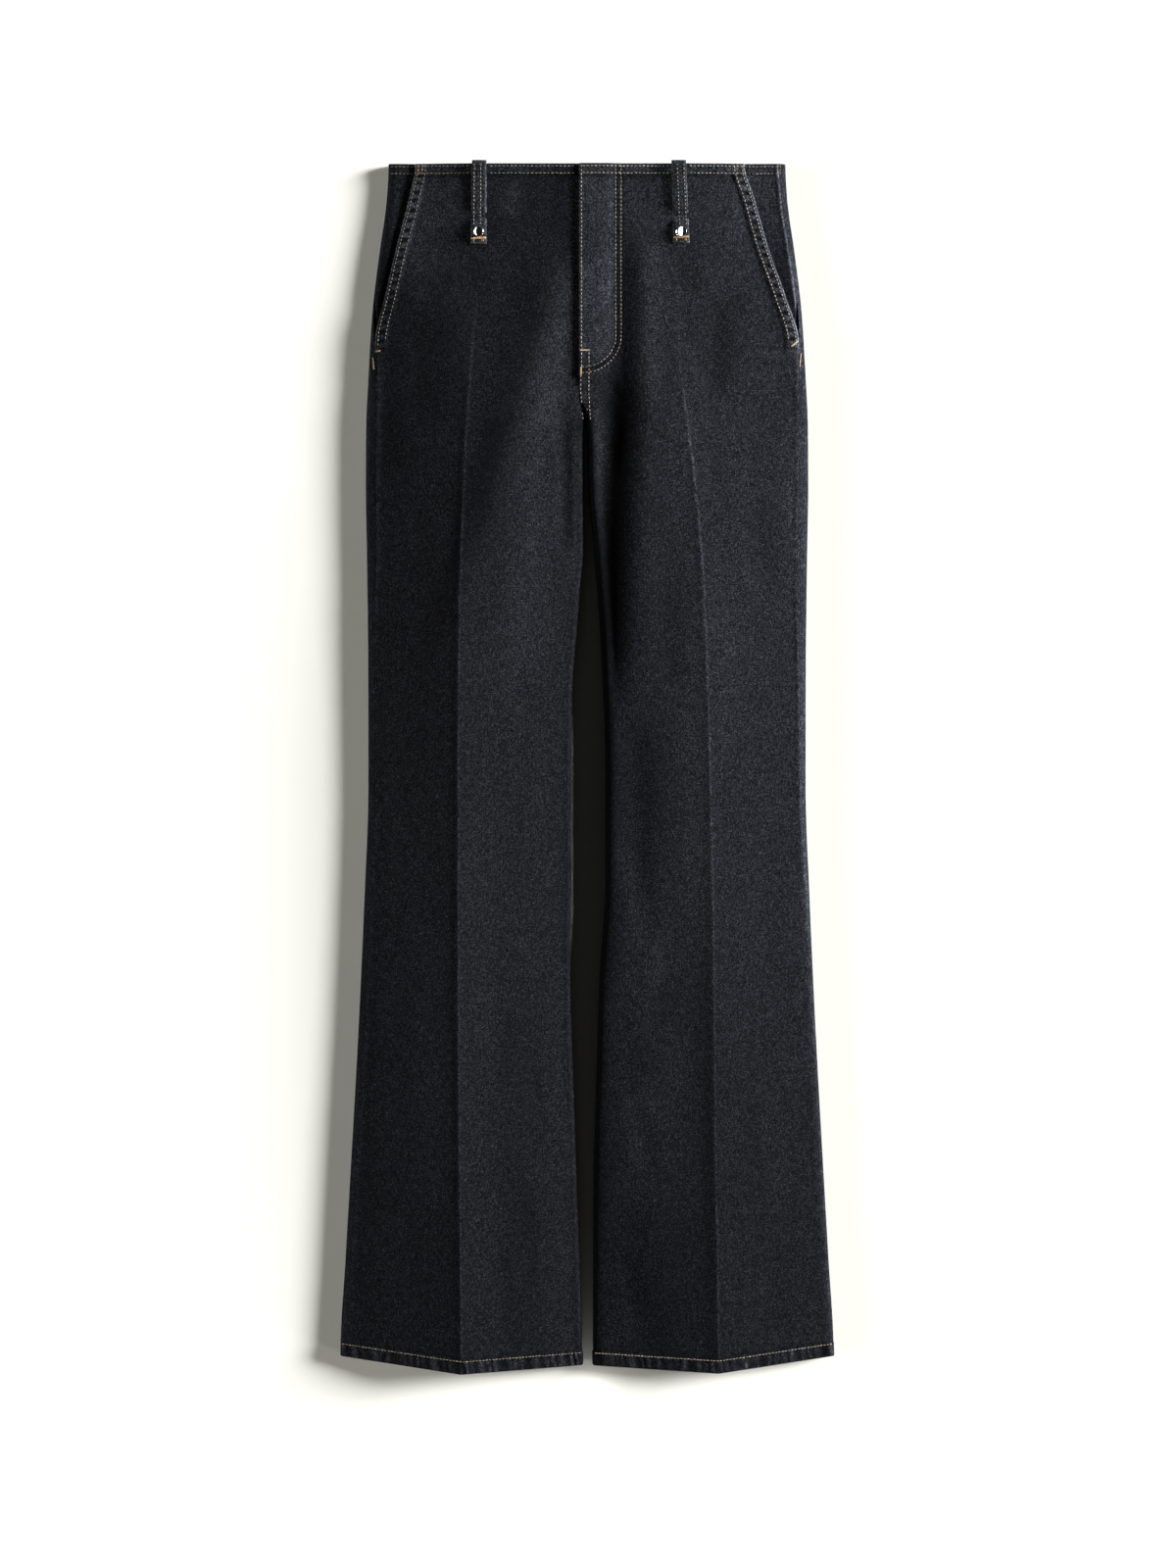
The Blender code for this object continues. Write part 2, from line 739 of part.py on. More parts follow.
def stud_profile():
    """A stud's section as (radius, height), from its bevelled foot over the rim up the dome."""
    profile = [(STUD_RADIUS - STUD_BEVEL, 0), (STUD_RADIUS, STUD_BEVEL), (STUD_RADIUS, STUD_RIM_HEIGHT)]
    for k in range(1, STUD_DOME_STEPS):
        angle = math.pi / 2 * k / STUD_DOME_STEPS
        radius = (STUD_RADIUS - STUD_RIM_WIDTH) * math.cos(angle)
        profile.append((radius, STUD_RIM_HEIGHT + STUD_DOME_HEIGHT * math.sin(angle)))
    return profile


def make_stud(side, colour):
    """A round press stud with a low rim and a domed cap, on the foot of a belt loop."""
    x, _ = loop_centre(side, STUD_DROP)
    highest = front_top(side, x, STUD_DROP, STUD_RADIUS, STUD_RADIUS)
    foot = highest + SEAM_GAP + LOOP_THICKNESS + SEAM_GAP
    base = Vector((x, WAIST_Y - STUD_DROP, foot))
    shape = bmesh.new()
    rings = []
    for radius, height in stud_profile():
        ring = []
        for k in range(STUD_SEGMENTS):
            turn = 2 * math.pi * k / STUD_SEGMENTS
            offset = Vector((radius * math.cos(turn), radius * math.sin(turn), height))
            ring.append(shape.verts.new((base + offset) * MM))
        rings.append(ring)
    join_rings(shape, rings)
    shape.faces.new(rings[0])
    tip = shape.verts.new((base + Vector((0, 0, STUD_RIM_HEIGHT + STUD_DOME_HEIGHT))) * MM)
    for a in range(STUD_SEGMENTS):
        shape.faces.new((rings[-1][a], rings[-1][(a + 1) % STUD_SEGMENTS], tip))
    bmesh.ops.recalc_face_normals(shape, faces=shape.faces)
    return new_object("stud_" + side, shape, colour, metallic=1.0, roughness=0.2)


DENIM = (0.016, 0.018, 0.024)
DENIM_WORN = (0.022, 0.025, 0.031)
DENIM_DEEP = (0.012, 0.013, 0.018)
CHROME = (0.78, 0.78, 0.8)


def main():
    for thing in list(bpy.data.objects):
        bpy.data.objects.remove(thing, do_unlink=True)
    for side in SIDES:
        make_front(side, DENIM)
        make_back(side, DENIM_DEEP)
        make_pocket_facing(side, DENIM_DEEP)
        make_belt_loop(side, DENIM_WORN)
        make_stud(side, CHROME)


main()
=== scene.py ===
"""Looks of the bootcut jeans, laid flat: cloth shells, stitches, bar tacks, studs and light.

Metres in Blender, but sizes here are in millimetres. "drop" is the distance down from the waist
edge, "reach" the distance from the middle, and +X is the wearer's left, on the right of the view.
"""

import math

import bpy
import numpy as np
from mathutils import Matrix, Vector
from mathutils.bvhtree import BVHTree


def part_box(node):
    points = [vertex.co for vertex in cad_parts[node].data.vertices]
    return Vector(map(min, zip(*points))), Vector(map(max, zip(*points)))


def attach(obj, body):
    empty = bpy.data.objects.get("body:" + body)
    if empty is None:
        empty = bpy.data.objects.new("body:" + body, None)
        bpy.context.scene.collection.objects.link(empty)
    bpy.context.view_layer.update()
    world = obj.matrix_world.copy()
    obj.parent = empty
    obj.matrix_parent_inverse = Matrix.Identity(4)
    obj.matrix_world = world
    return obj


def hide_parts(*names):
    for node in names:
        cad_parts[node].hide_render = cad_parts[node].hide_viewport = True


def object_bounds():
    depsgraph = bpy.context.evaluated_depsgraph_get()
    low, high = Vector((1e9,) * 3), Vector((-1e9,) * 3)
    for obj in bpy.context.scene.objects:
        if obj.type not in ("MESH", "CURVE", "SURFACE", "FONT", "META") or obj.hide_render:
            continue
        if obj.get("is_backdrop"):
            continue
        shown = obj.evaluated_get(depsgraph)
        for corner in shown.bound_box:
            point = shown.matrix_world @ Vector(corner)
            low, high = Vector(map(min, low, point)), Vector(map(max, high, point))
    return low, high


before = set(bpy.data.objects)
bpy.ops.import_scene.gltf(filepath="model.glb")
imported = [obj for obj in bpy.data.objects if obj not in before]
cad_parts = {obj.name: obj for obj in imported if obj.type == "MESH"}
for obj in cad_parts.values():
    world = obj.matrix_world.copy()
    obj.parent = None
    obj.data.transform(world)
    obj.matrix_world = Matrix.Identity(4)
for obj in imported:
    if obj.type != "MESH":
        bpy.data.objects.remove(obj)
CAD_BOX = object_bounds()

MM = 0.001
SIDES = {"right": -1, "left": 1}

# Sizes of the garment, as in its solids
WAIST_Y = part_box("front_left")[1].y / MM
LEG_SPLIT_DROP = 216
CROTCH_DROP = 238
HEM_DROP = 1095
CREASE_DIP = 15
INSEAM_DIP = 8.5
DIP_LENGTH = 135
WALL = 1.3
SEAM_GAP = 0.3
HEM_DEPTH = 12
HEM_RAISE = 0.8
WAIST_EDGE_DEPTH = 9.5
WAIST_EDGE_RAISE = 0.7
TURNING = 1.5
SIDE_ROUND = 10
INSEAM_ROLL = 5
INSEAM_HEIGHT_SHARE = 0.45
MIDDLE_X = -1.5
FLY_EDGE_X = -7.35
FLY_LIFT = 2.6
UNDERLAP_REACH = 14
UNDERLAP_COVER = 10
UNDERLAP_END_DROPS = (150, 186)
FLY_FALL = 21
FLY_END_DROP = 188
FLY_FADE = 24
POCKET_BAND = 11
POCKET_BAND_RAISE = 0.9
POCKET_END_DROP = 165
POCKET_BAND_FADE = 12
FACING_TUCK = 14
FACING_DEPTH = 2.4
FACING_SINK_DROPS = (118, 148)
FACING_LEAST_WIDTH = 2.5
PRESSED_FROM = 120
PRESSED_TO = 330
FOLD_FADE_SHARE = 0.22
FOLD_EDGE_FADE = 9


def smooth(t):
    t = np.clip(t, 0.0, 1.0)
    return t * t * (3 - 2 * t)


def mix(a, b, share):
    return a + (b - a) * share


def bump(offset, half_width):
    return np.exp(-((offset / half_width) ** 2))


class Table:
    """Rows of sizes down the garment, with smooth values between them."""

    def __init__(self, columns, *rows):
        self.drops = np.array([row[0] for row in rows], float)
        self.values = {name: np.array([row[k] for row in rows], float) for k, name in enumerate(columns)}

    def at(self, name, drop):
        values, drops = self.values[name], self.drops
        steps = np.diff(values) / np.diff(drops)
        before, after = steps[:-1], steps[1:]
        same = before * after > 0
        slopes = np.zeros(len(values))
        slopes[1:-1][same] = 2 * before[same] * after[same] / (before + after)[same]
        drop = np.clip(drop, drops[0], drops[-1])
        k = np.clip(np.searchsorted(drops, drop, side="right") - 1, 0, len(drops) - 2)
        span = drops[k + 1] - drops[k]
        t = (drop - drops[k]) / span
        return (
            (2 * t**3 - 3 * t**2 + 1) * values[k]
            + (t**3 - 2 * t**2 + t) * slopes[k] * span
            + (3 * t**2 - 2 * t**3) * values[k + 1]
            + (t**3 - t**2) * slopes[k + 1] * span
        )


OUTLINE = Table(
    ("drop", "half_width", "seam_right", "seam_left"),
    (0, 182.5, 0.5, 5.8),
    (30, 184.0, 0.5, 5.2),
    (84, 191.2, 0.5, 4.4),
    (138, 197.5, 1.5, 3.4),
    (192, 200.8, 7.5, 6.5),
    (246, 203.2, 9.0, 9.0),
    (300, 203.4, 9.0, 9.0),
    (354, 202.5, 8.5, 9.0),
    (462, 201.2, 3.0, 6.0),
    (570, 201.0, 4.0, 4.0),
    (678, 204.8, 4.5, 2.0),
    (786, 209.7, 5.0, 0.5),
    (894, 215.6, 4.5, 0.3),
    (1002, 221.8, 4.0, 0.3),
    (1095, 226.8, 1.5, 0.3),
)
LEG_EDGES = Table(
    ("drop", "right", "left"),
    (CROTCH_DROP, MIDDLE_X - SEAM_GAP / 2, MIDDLE_X + SEAM_GAP / 2),
    (252, -2.7, 0.0),
    (300, -2.7, 1.4),
    (354, -2.7, 6.2),
    (390, -6.3, 8.9),
    (426, -9.0, 11.6),
    (480, -13.5, 14.4),
    (540, -14.4, 16.7),
    (660, -14.4, 16.7),
    (750, -15.3, 11.3),
    (840, -12.6, 8.6),
    (930, -9.5, 5.9),
    (1095, -4.5, 5.4),
)
RELIEF = Table(
    ("drop", "crease_right", "crease_left", "top_right", "top_left", "middle_right", "middle_left", "side"),
    (0, 97, 88, 13.0, 13.0, 12.5, 12.5, 9.0),
    (84, 99, 87, 15.0, 14.5, 13.5, 13.5, 10.0),
    (163, 104, 84, 18.5, 16.0, 14.5, 14.5, 11.0),
    (238, 110, 92, 23.0, 17.5, 14.8, 14.8, 12.0),
    (311, 113.5, 101, 26.5, 19.0, 13.5, 14.0, 12.0),
    (408, 117, 108, 29.0, 20.0, 12.0, 13.5, 12.0),
    (570, 118, 113, 30.0, 20.0, 11.0, 14.0, 11.5),
    (731, 118, 116, 30.0, 20.0, 11.0, 13.5, 11.0),
    (894, 117, 117.5, 29.5, 20.0, 10.5, 12.0, 11.0),
    (1095, 115.2, 120.6, 27.0, 20.0, 10.0, 11.0, 10.5),
)
POCKET_EDGES = Table(
    ("drop", "right", "left"),
    (0, 157.5, 144.5),
    (33, 163.8, 154.0),
    (76, 174.8, 166.1),
    (122, 185.5, 182.3),
    (POCKET_END_DROP, 194.5, 194.5),
)


def named_rows(columns, rows):
    """A table in which each row has a name: gives a dictionary of sizes for each."""
    return {name: dict(zip(columns, row)) for name, row in rows.items()}


def stroke(row, x, drop, fade_share):
    """The amount of a soft straight line on the cloth at each place; it fades at both ends.

    A row holds the drop and x of the first end, those of the other end, half_width and amount.
    """
    from_drop, from_x, to_drop, to_x, half_width, amount = row
    t = (drop - from_drop) / (to_drop - from_drop)
    fade = smooth(t / fade_share) * smooth((1 - t) / fade_share)
    return amount * fade * bump(x - mix(from_x, to_x, t), half_width)


# Ridges and troughs (amount below 0) as rows of stroke: the large ones, then finer ones by place
FOLDS = (
    (55, 35, 300, 27, 16, -3.4),  # deep valley beside the fly
    (190, 31, 520, 10, 15, -5.4),  # deep valley down the inner thigh
    (70, -34, 345, -112, 22, 4.0),  # drag line from the fly to the crease
    (0, -14, 190, -15, 9, -0.5),  # hollow beside the fly edge
    (215, -21, 370, -21, 7, -1.6),  # hollow beside the right inseam
    (120, -160, 260, -150, 16, -1.8),  # hollow under the right pocket
    (110, 118, 225, 112, 14, -1.8),  # hollow under the left pocket
    (500, 42, 690, 48, 16, -1.8),  # inner thigh, left leg
    # right hip
    (96, -128, 170, -176, 9, -0.6),
    (14, -60, 58, -66, 12, -0.5),
    # right thigh
    (186, -24, 250, -88, 8, -0.6),
    (232, -22, 300, -74, 6, 0.5),
    (300, -160, 470, -150, 12, -0.7),
    (330, -58, 520, -66, 13, -0.6),
    # right knee
    (520, -46, 660, -60, 14, 0.6),
    # right shin and hem
    (700, -168, 900, -178, 14, -0.6),
    (760, -58, 940, -48, 12, -0.6),
    (960, -70, 1085, -58, 11, 0.6),
    # left hip
    (60, 96, 150, 146, 9, -0.5),
    (14, 62, 62, 56, 12, -0.5),
    # left thigh
    (196, 14, 262, 74, 7, -0.7),
    (226, 10, 300, 62, 6, 0.5),
    (280, 150, 420, 164, 12, -0.6),
    (330, 68, 500, 78, 12, -0.7),
    # left knee
    (610, 40, 720, 56, 11, -0.8),
    (600, 160, 760, 170, 14, -0.5),
    # left shin and hem
    (700, 62, 830, 44, 10, 0.7),
    (820, 156, 960, 170, 13, 0.5),
    (860, 44, 950, 62, 9, -0.7),
    (1000, 36, 1085, 54, 9, -0.7),
    (970, 176, 1080, 160, 12, -0.5),
)


# ---- the shape of the garment


def leg_share(drop):
    """0 where both fronts lie side by side, 1 from the crotch down, where each leg is a tube."""
    return smooth((drop - LEG_SPLIT_DROP) / (CROTCH_DROP - LEG_SPLIT_DROP))


def back_edge(side, drop):
    """Where a back ends towards the middle: at the centre back seam, then the inseam."""
    seat = MIDDLE_X + SIDES[side] * SEAM_GAP / 2
    return np.where(drop >= CROTCH_DROP, LEG_EDGES.at(side, drop), seat)


def front_edge(side, drop):
    """Where a front ends towards the middle: at the fly, then the rise seam, then the inseam."""
    rise = mix(FLY_EDGE_X, MIDDLE_X, leg_share(drop)) + SIDES[side] * SEAM_GAP / 2
    if side == "right":
        start, end = UNDERLAP_END_DROPS
        rise = mix(UNDERLAP_REACH, rise, smooth((drop - start) / (end - start)))
    return np.where(drop >= CROTCH_DROP, LEG_EDGES.at(side, drop), rise)


def round_start(drop):
    """The reach at which the edge of the garment starts to round down."""
    return OUTLINE.at("half_width", drop) - SIDE_ROUND


def shoulder(side, drop):
    """The reach at which the top of a leg starts to round down to its inseam."""
    return leg_share(drop) * (SIDES[side] * back_edge(side, drop) + INSEAM_ROLL)


def pressed(t, drop):
    """From shoulder (0) to crease (1): a soft dome at the waist that turns into a straight slope."""
    t = np.clip(t, 0.0, 1.0)
    dome = 0.5 - 0.5 * np.cos(np.pi * t)
    return mix(dome, t, smooth((drop - PRESSED_FROM) / (PRESSED_TO - PRESSED_FROM)))


def fold_height(x, drop):
    return sum(stroke(row, x, drop, FOLD_FADE_SHARE) for row in FOLDS)


def side_height(side, x, drop):
    reach = np.abs(x)
    crease = RELIEF.at("crease_" + side, drop)
    top = RELIEF.at("top_" + side, drop)
    at_side = RELIEF.at("side", drop)
    start, end = shoulder(side, drop), round_start(drop)
    across = np.clip((reach - end) / SIDE_ROUND, 0.0, 1.0)
    rounded = at_side / 2 * (1 + np.sqrt(1 - across * across))
    outer = mix(at_side, top, pressed((end - reach) / (end - crease), drop))
    inner = mix(RELIEF.at("middle_" + side, drop), top, pressed((reach - start) / (crease - start), drop))
    height = np.where(reach > crease, outer, inner)
    room = mix(1.0, smooth((reach - start) / FOLD_EDGE_FADE), leg_share(drop))
    room = room * smooth((end - reach) / FOLD_EDGE_FADE)
    height = height + fold_height(x, drop) * room
    return np.where(reach > end, rounded, height)


def top_height(x, drop):
    """The height of the garment's top face, without the laps and the turned edges."""
    return np.where(x < MIDDLE_X, side_height("right", x, drop), side_height("left", x, drop))


def fly_lift(x, drop):
    """How far the left front stands above the right one, which continues under its edge."""
    across = 1 - smooth((x - UNDERLAP_REACH) / FLY_FALL)
    down = 1 - smooth((drop - FLY_END_DROP) / FLY_FADE)
    return FLY_LIFT * across * down


def dip_share(drop):
    """0 above the lowest part of the leg, 1 at the hem, where its dip is full."""
    return smooth((drop - HEM_DROP + DIP_LENGTH) / DIP_LENGTH)


def hem_dip(side, reach, drop):
    """The extra length towards the crease, where the hem reaches lowest."""
    crease = RELIEF.at("crease_" + side, drop)
    inner = np.abs(back_edge(side, drop))
    outer = OUTLINE.at("half_width", drop)
    from_side = CREASE_DIP * (outer - reach) / (outer - crease)
    from_inseam = mix(CREASE_DIP, INSEAM_DIP, (crease - reach) / (crease - inner))
    return np.where(reach > crease, from_side, from_inseam) * dip_share(drop)


def back_dip(side, reach, drop):
    """The extra length of the back, which grows from the side to the inseam."""
    inner = np.abs(back_edge(side, drop))
    outer = OUTLINE.at("half_width", drop)
    return INSEAM_DIP * (outer - reach) / (outer - inner) * dip_share(drop)


def seam_angle(side, drop):
    """Where the side seam lies on the rounded edge: 0 at its outermost line, 90 degrees on top."""
    return np.arccos(1 - OUTLINE.at("seam_" + side, drop) / SIDE_ROUND)


def half_gap_angle(angle, drop):
    """Half of the gap at the side seam, as an angle on the rounded edge."""
    half_height = RELIEF.at("side", drop) / 2
    return SEAM_GAP / 2 / np.hypot(SIDE_ROUND * np.sin(angle), half_height * np.cos(angle))


def seam_reach(side, drop):
    """The reach of the front's edge at the side seam."""
    angle = seam_angle(side, drop)
    return round_start(drop) + SIDE_ROUND * np.cos(angle + half_gap_angle(angle, drop))


def front_limit(side, drop):
    """The reach of a front's outer edge: the pocket's edge, then the side seam."""
    seam = seam_reach(side, drop)
    return np.where(drop > POCKET_END_DROP, seam, np.minimum(seam, POCKET_EDGES.at(side, drop)))


# ---- fine grids of points

# Rows of points down the garment, as (from, to, spacing)
ROW_RUNS = ((0, 12, 0.75), (12, 150, 2.3), (150, 270, 2.0), (270, 1074, 5.0), (1074, 1095, 0.9))
ROLL_COLUMNS = 8
INNER_COLUMNS = 62
OUTER_COLUMNS = 54
ROUND_COLUMNS = 14
FLAT_COLUMNS = 12
FACING_COLUMNS = 26
TUCK_COLUMNS = 8
# Where the fly's rows lie, as a share of the way from the fly edge to the left crease
FLY_ROWS_SHARE = 0.355


def row_drops(last=HEM_DROP):
    """The drops of a grid's rows, from the waist edge to the last one, as one column."""
    drops = []
    for start, end, spacing in ROW_RUNS:
        count = round((end - start) / spacing)
        drops += [mix(start, end, k / count) for k in range(count)]
    drops = [drop for drop in drops if drop < last - 0.1]
    return np.array(drops + [last])[:, None]


def towards_end(count, power=1.8):
    """Shares from 0 to 1 that lie closer together near 1."""
    t = np.linspace(0, 1, count + 1)
    return 1 - (1 - t) ** power


def inner_shares(side):
    """Shares from the shoulder to the crease: closer at both ends and, on the left, at the fly rows."""
    t = np.linspace(0, 1, 2001)
    crowd = 1 + 2.5 * bump(t, 0.06) + 2.5 * bump(1 - t, 0.05)
    if side == "left":
        crowd = crowd + 4.5 * bump(t - FLY_ROWS_SHARE, 0.05) + 0.8 * (t < 0.3)
    total = np.cumsum(crowd)
    total = (total - total[0]) / (total[-1] - total[0])
    return np.interp(np.linspace(0, 1, INNER_COLUMNS + 1), total, t)


def towards_both(count):
    """Shares from 0 to 1 that lie closer together near both ends."""
    t = np.linspace(0, 1, count + 1)
    return mix(t, 0.5 - 0.5 * np.cos(np.pi * t), 0.85)


def rolled(side, drop, share, front):
    """x and height on the round at the inseam, from the seam (0) to the shoulder (1)."""
    angle = np.pi / 2 * share
    top = RELIEF.at("middle_" + side, drop)
    seam = INSEAM_HEIGHT_SHARE * top
    x = back_edge(side, drop) + SIDES[side] * INSEAM_ROLL * (1 - np.cos(angle))
    if front:
        low = seam + SEAM_GAP / 2
        return x, low + (top - low) * np.sin(angle)
    return x, (seam - SEAM_GAP / 2) * (1 - np.sin(angle))


def front_top(side, x, drop):
    """The height of a front's outer face, with the lap of the fly but without the turned edges."""
    height = top_height(x, drop)
    return height + fly_lift(x, drop) if side == "left" else height


def front_columns(side, drop):
    """x and height of a front's points along each row, from the middle to the side."""
    sign = SIDES[side]
    edge = front_edge(side, drop)
    crease = sign * RELIEF.at("crease_" + side, drop)
    shares = np.arange(ROLL_COLUMNS) / ROLL_COLUMNS
    flat_x = edge + sign * INSEAM_ROLL * shares
    inner_x = mix(edge + sign * INSEAM_ROLL, crease, inner_shares(side))
    outer_x = mix(crease, sign * front_limit(side, drop), towards_both(OUTER_COLUMNS)[1:])
    roll_x, roll_z = rolled(side, drop, shares, front=True)
    leg = leg_share(drop)
    rest_x = np.hstack([inner_x, outer_x])
    x = np.hstack([mix(flat_x, roll_x, leg), rest_x])
    z = np.hstack([mix(front_top(side, flat_x, drop), roll_z, leg), front_top(side, rest_x, drop)])
    return x, z


def back_columns(side, drop):
    """x and height from the side seam round the edge and along the underside to the inseam."""
    sign = SIDES[side]
    start = sign * round_start(drop)
    edge = back_edge(side, drop)
    angle = seam_angle(side, drop)
    angle = angle - half_gap_angle(angle, drop)
    turn = mix(angle, -np.pi / 2, np.arange(ROUND_COLUMNS + 1) / ROUND_COLUMNS)
    round_x = start + sign * SIDE_ROUND * np.cos(turn)
    round_z = RELIEF.at("side", drop) / 2 * (1 + np.sin(turn))
    flat_x = mix(start, edge + sign * INSEAM_ROLL, np.arange(1, FLAT_COLUMNS) / FLAT_COLUMNS)
    shares = np.arange(ROLL_COLUMNS, -1, -1) / ROLL_COLUMNS
    roll_x, roll_z = rolled(side, drop, shares, front=False)
    leg = leg_share(drop)
    roll_x = mix(edge + sign * INSEAM_ROLL * shares, roll_x, leg)
    return np.hstack([round_x, flat_x, roll_x]), np.hstack([round_z, 0 * flat_x, leg * roll_z])


def normals_of(points, sign):
    """Unit normals of a grid of points, outward for a side's sign."""
    down = np.gradient(points, axis=0)
    across = np.gradient(points, axis=1)
    normals = np.cross(down, across) * sign
    return normals / np.maximum(np.linalg.norm(normals, axis=2, keepdims=True), 1e-9)


# ---- turned edges, ropes and wear

EDGE_SOFT = 1.6
EDGE_SINK = 0.6
# Spacing of the puckers along each turned edge
WAIST_PITCH = 6.5
HEM_PITCH = 8.2
BAND_PITCH = 6.0
SEAM_PITCH = 7.0
# The channel between a pocket's two rows, which has rungs of paler cloth
CHANNEL_INWARD = 5.9
RUNG_PITCH = 8.4
# The pale pressed line of each crease, from a drop on
CREASE_LINE_FROM = 110
CREASE_LINE_RUN = 120
CREASE_LINE_WEAR = 0.42
ROW_GROOVE = 0.28
random = np.random.default_rng(7)


def wobble(t, seed, scale):
    """A smooth uneven line between -1 and 1, with waves about as long as scale."""
    phases = np.random.default_rng(seed).uniform(0, 2 * np.pi, 5)
    total = 0.0
    for k, phase in enumerate(phases):
        total = total + np.sin(t * 2 * np.pi / scale * (0.6 + 0.37 * k) + phase)
    return total / 3.2


def rope(along, across, pitch, seed, slant=0.6):
    """The slanted puckers of a turned, stitched edge, uneven in size: between -1 and 1."""
    shifted = along + slant * across
    stretched = shifted + pitch * 0.55 * wobble(shifted, seed, pitch * 5)
    strength = 0.62 + 0.38 * wobble(shifted, seed + 1, pitch * 3)
    return np.sin(2 * np.pi * stretched / pitch) * strength


def soft_edge(distance):
    """How far cloth sinks at a folded edge, by the distance from that edge."""
    return -EDGE_SINK * (1 - np.clip(distance / EDGE_SOFT, 0, 1)) ** 2


def on_waist(drop):
    """1 on the turned waist edge, 0 below it."""
    return 1 - smooth((drop - WAIST_EDGE_DEPTH) / TURNING)


def waist_finish(side, x, drop):
    """Height and wear of the waist edge, which the left front hides on the underlap."""
    shown = np.ones_like(x)
    if side == "right":
        shown = np.where((drop < FLY_END_DROP) & (x > -UNDERLAP_COVER), 0.0, 1.0)
    turned = on_waist(drop)
    puckers = rope(x, drop, WAIST_PITCH, 11) * turned
    height = shown * turned * (WAIST_EDGE_RAISE + 0.16 * puckers) + soft_edge(drop)
    wear = shown * turned * (0.1 + 0.1 * puckers) + 0.35 * bump(drop, 0.8)
    return height, wear - 0.25 * shown * bump(drop - 12.2, 1.6)


def hem_finish(sign, x, drop):
    """Height and wear of the hem, with its strong puckers."""
    up = HEM_DROP - drop
    turned = 1 - smooth((up - HEM_DEPTH) / TURNING)
    puckers = rope(x, up, HEM_PITCH, 21 + sign, slant=0.2) * turned
    height = turned * (HEM_RAISE + 0.45 * puckers) + soft_edge(up)
    wear = turned * (0.02 + 0.6 * puckers) + 0.25 * bump(up, 0.8)
    return height, wear - 0.15 * bump(up - 14, 1.2)


def pocket_finish(sign, inward, drop):
    """Height and wear of the pocket's band, by the distance inward from its edge."""
    here = 1 - smooth((drop - POCKET_END_DROP) / POCKET_BAND_FADE)
    on_band = (1 - smooth((inward - POCKET_BAND) / TURNING)) * here
    below_waist = 1 - on_waist(drop)
    puckers = rope(drop, inward, BAND_PITCH, 31 + sign) * on_band
    channel = on_band * bump(inward - CHANNEL_INWARD, 2.6) * below_waist
    swing = np.sin(2 * np.pi * drop / RUNG_PITCH + 0.9 * np.sin(drop / 13 + sign))
    ladder = smooth(0.5 + 0.75 * swing)
    height = on_band * (POCKET_BAND_RAISE + 0.3 * puckers) * below_waist + soft_edge(inward) * here
    height = height + channel * 0.3 * (0.5 - ladder)
    wear = channel * (0.32 - 0.95 * ladder) + 0.06 * on_band + 0.1 * puckers
    wear = wear + 0.6 * bump(inward - 0.3, 0.9) * here
    return height, wear - 0.22 * bump(inward - POCKET_BAND - 1.4, 1.0) * here


def seam_finish(sign, inward, drop):
    """Height and wear of the side seam's lip, below the pocket."""
    below = smooth((drop - POCKET_END_DROP) / POCKET_BAND_FADE)
    lip = bump(inward - 1.6, 2.2) * below
    puckers = rope(drop, 0, SEAM_PITCH, 41 + sign)
    return lip * (0.45 + 0.2 * puckers), lip * (0.12 + 0.16 * puckers)


def front_finish(side, x, drop):
    """What a front's turned edges add to its height, and how much lighter the cloth is worn, with painted
    light inside the fly.
    """
    sign = SIDES[side]
    inward = front_limit(side, drop) - sign * x
    parts = [waist_finish(side, x, drop), hem_finish(sign, x, drop)]
    parts += [pocket_finish(sign, inward, drop), seam_finish(sign, inward, drop)]
    if side == "left":
        parts.append(fly_finish(x, drop))
    height = sum(part[0] for part in parts)
    wear = sum(part[1] for part in parts)
    line = smooth((drop - CREASE_LINE_FROM) / CREASE_LINE_RUN)
    line = line * bump(sign * x - RELIEF.at("crease_" + side, drop), 1.1)
    wear = wear + CREASE_LINE_WEAR * line * (0.75 + 0.25 * wobble(drop, 51 + sign, 60))
    return height, wear


FLY_ROWS = {"inner": 26.5, "outer": 31.3}
FLY_CURVE_DROP = 160
FLY_FOOT_DROP = 187.5
FLY_FOOT_GAP = 5.2
FLY_PALE_FROM = 12
FLY_PALE_TO = 176


def fly_curve(row, steps=14):
    """A row of the fly's stitching as (x, drop): straight down, then round to the fly edge."""
    far = FLY_ROWS[row]
    near = FLY_EDGE_X + 1.5
    foot = FLY_FOOT_DROP + (FLY_FOOT_GAP if row == "outer" else 0)
    points = [(far, 0.5), (far, FLY_CURVE_DROP)]
    for k in range(1, steps + 1):
        turn = math.pi / 2 * k / steps
        x = near + (far - near) * math.cos(turn) ** 0.9
        drop = FLY_CURVE_DROP + (foot - FLY_CURVE_DROP) * math.sin(turn) ** 1.15
        points.append((x, drop))
    return points


def distance_to(line, x, drop):
    """The distance from points to a line of straight stretches."""
    best = np.full(np.shape(x), 1e9)
    for (ax, ad), (bx, bd) in zip(line, line[1:]):
        run = (bx - ax) ** 2 + (bd - ad) ** 2
        t = np.clip(((x - ax) * (bx - ax) + (drop - ad) * (bd - ad)) / run, 0, 1)
        best = np.minimum(best, np.hypot(x - mix(ax, bx, t), drop - mix(ad, bd, t)))
    return best


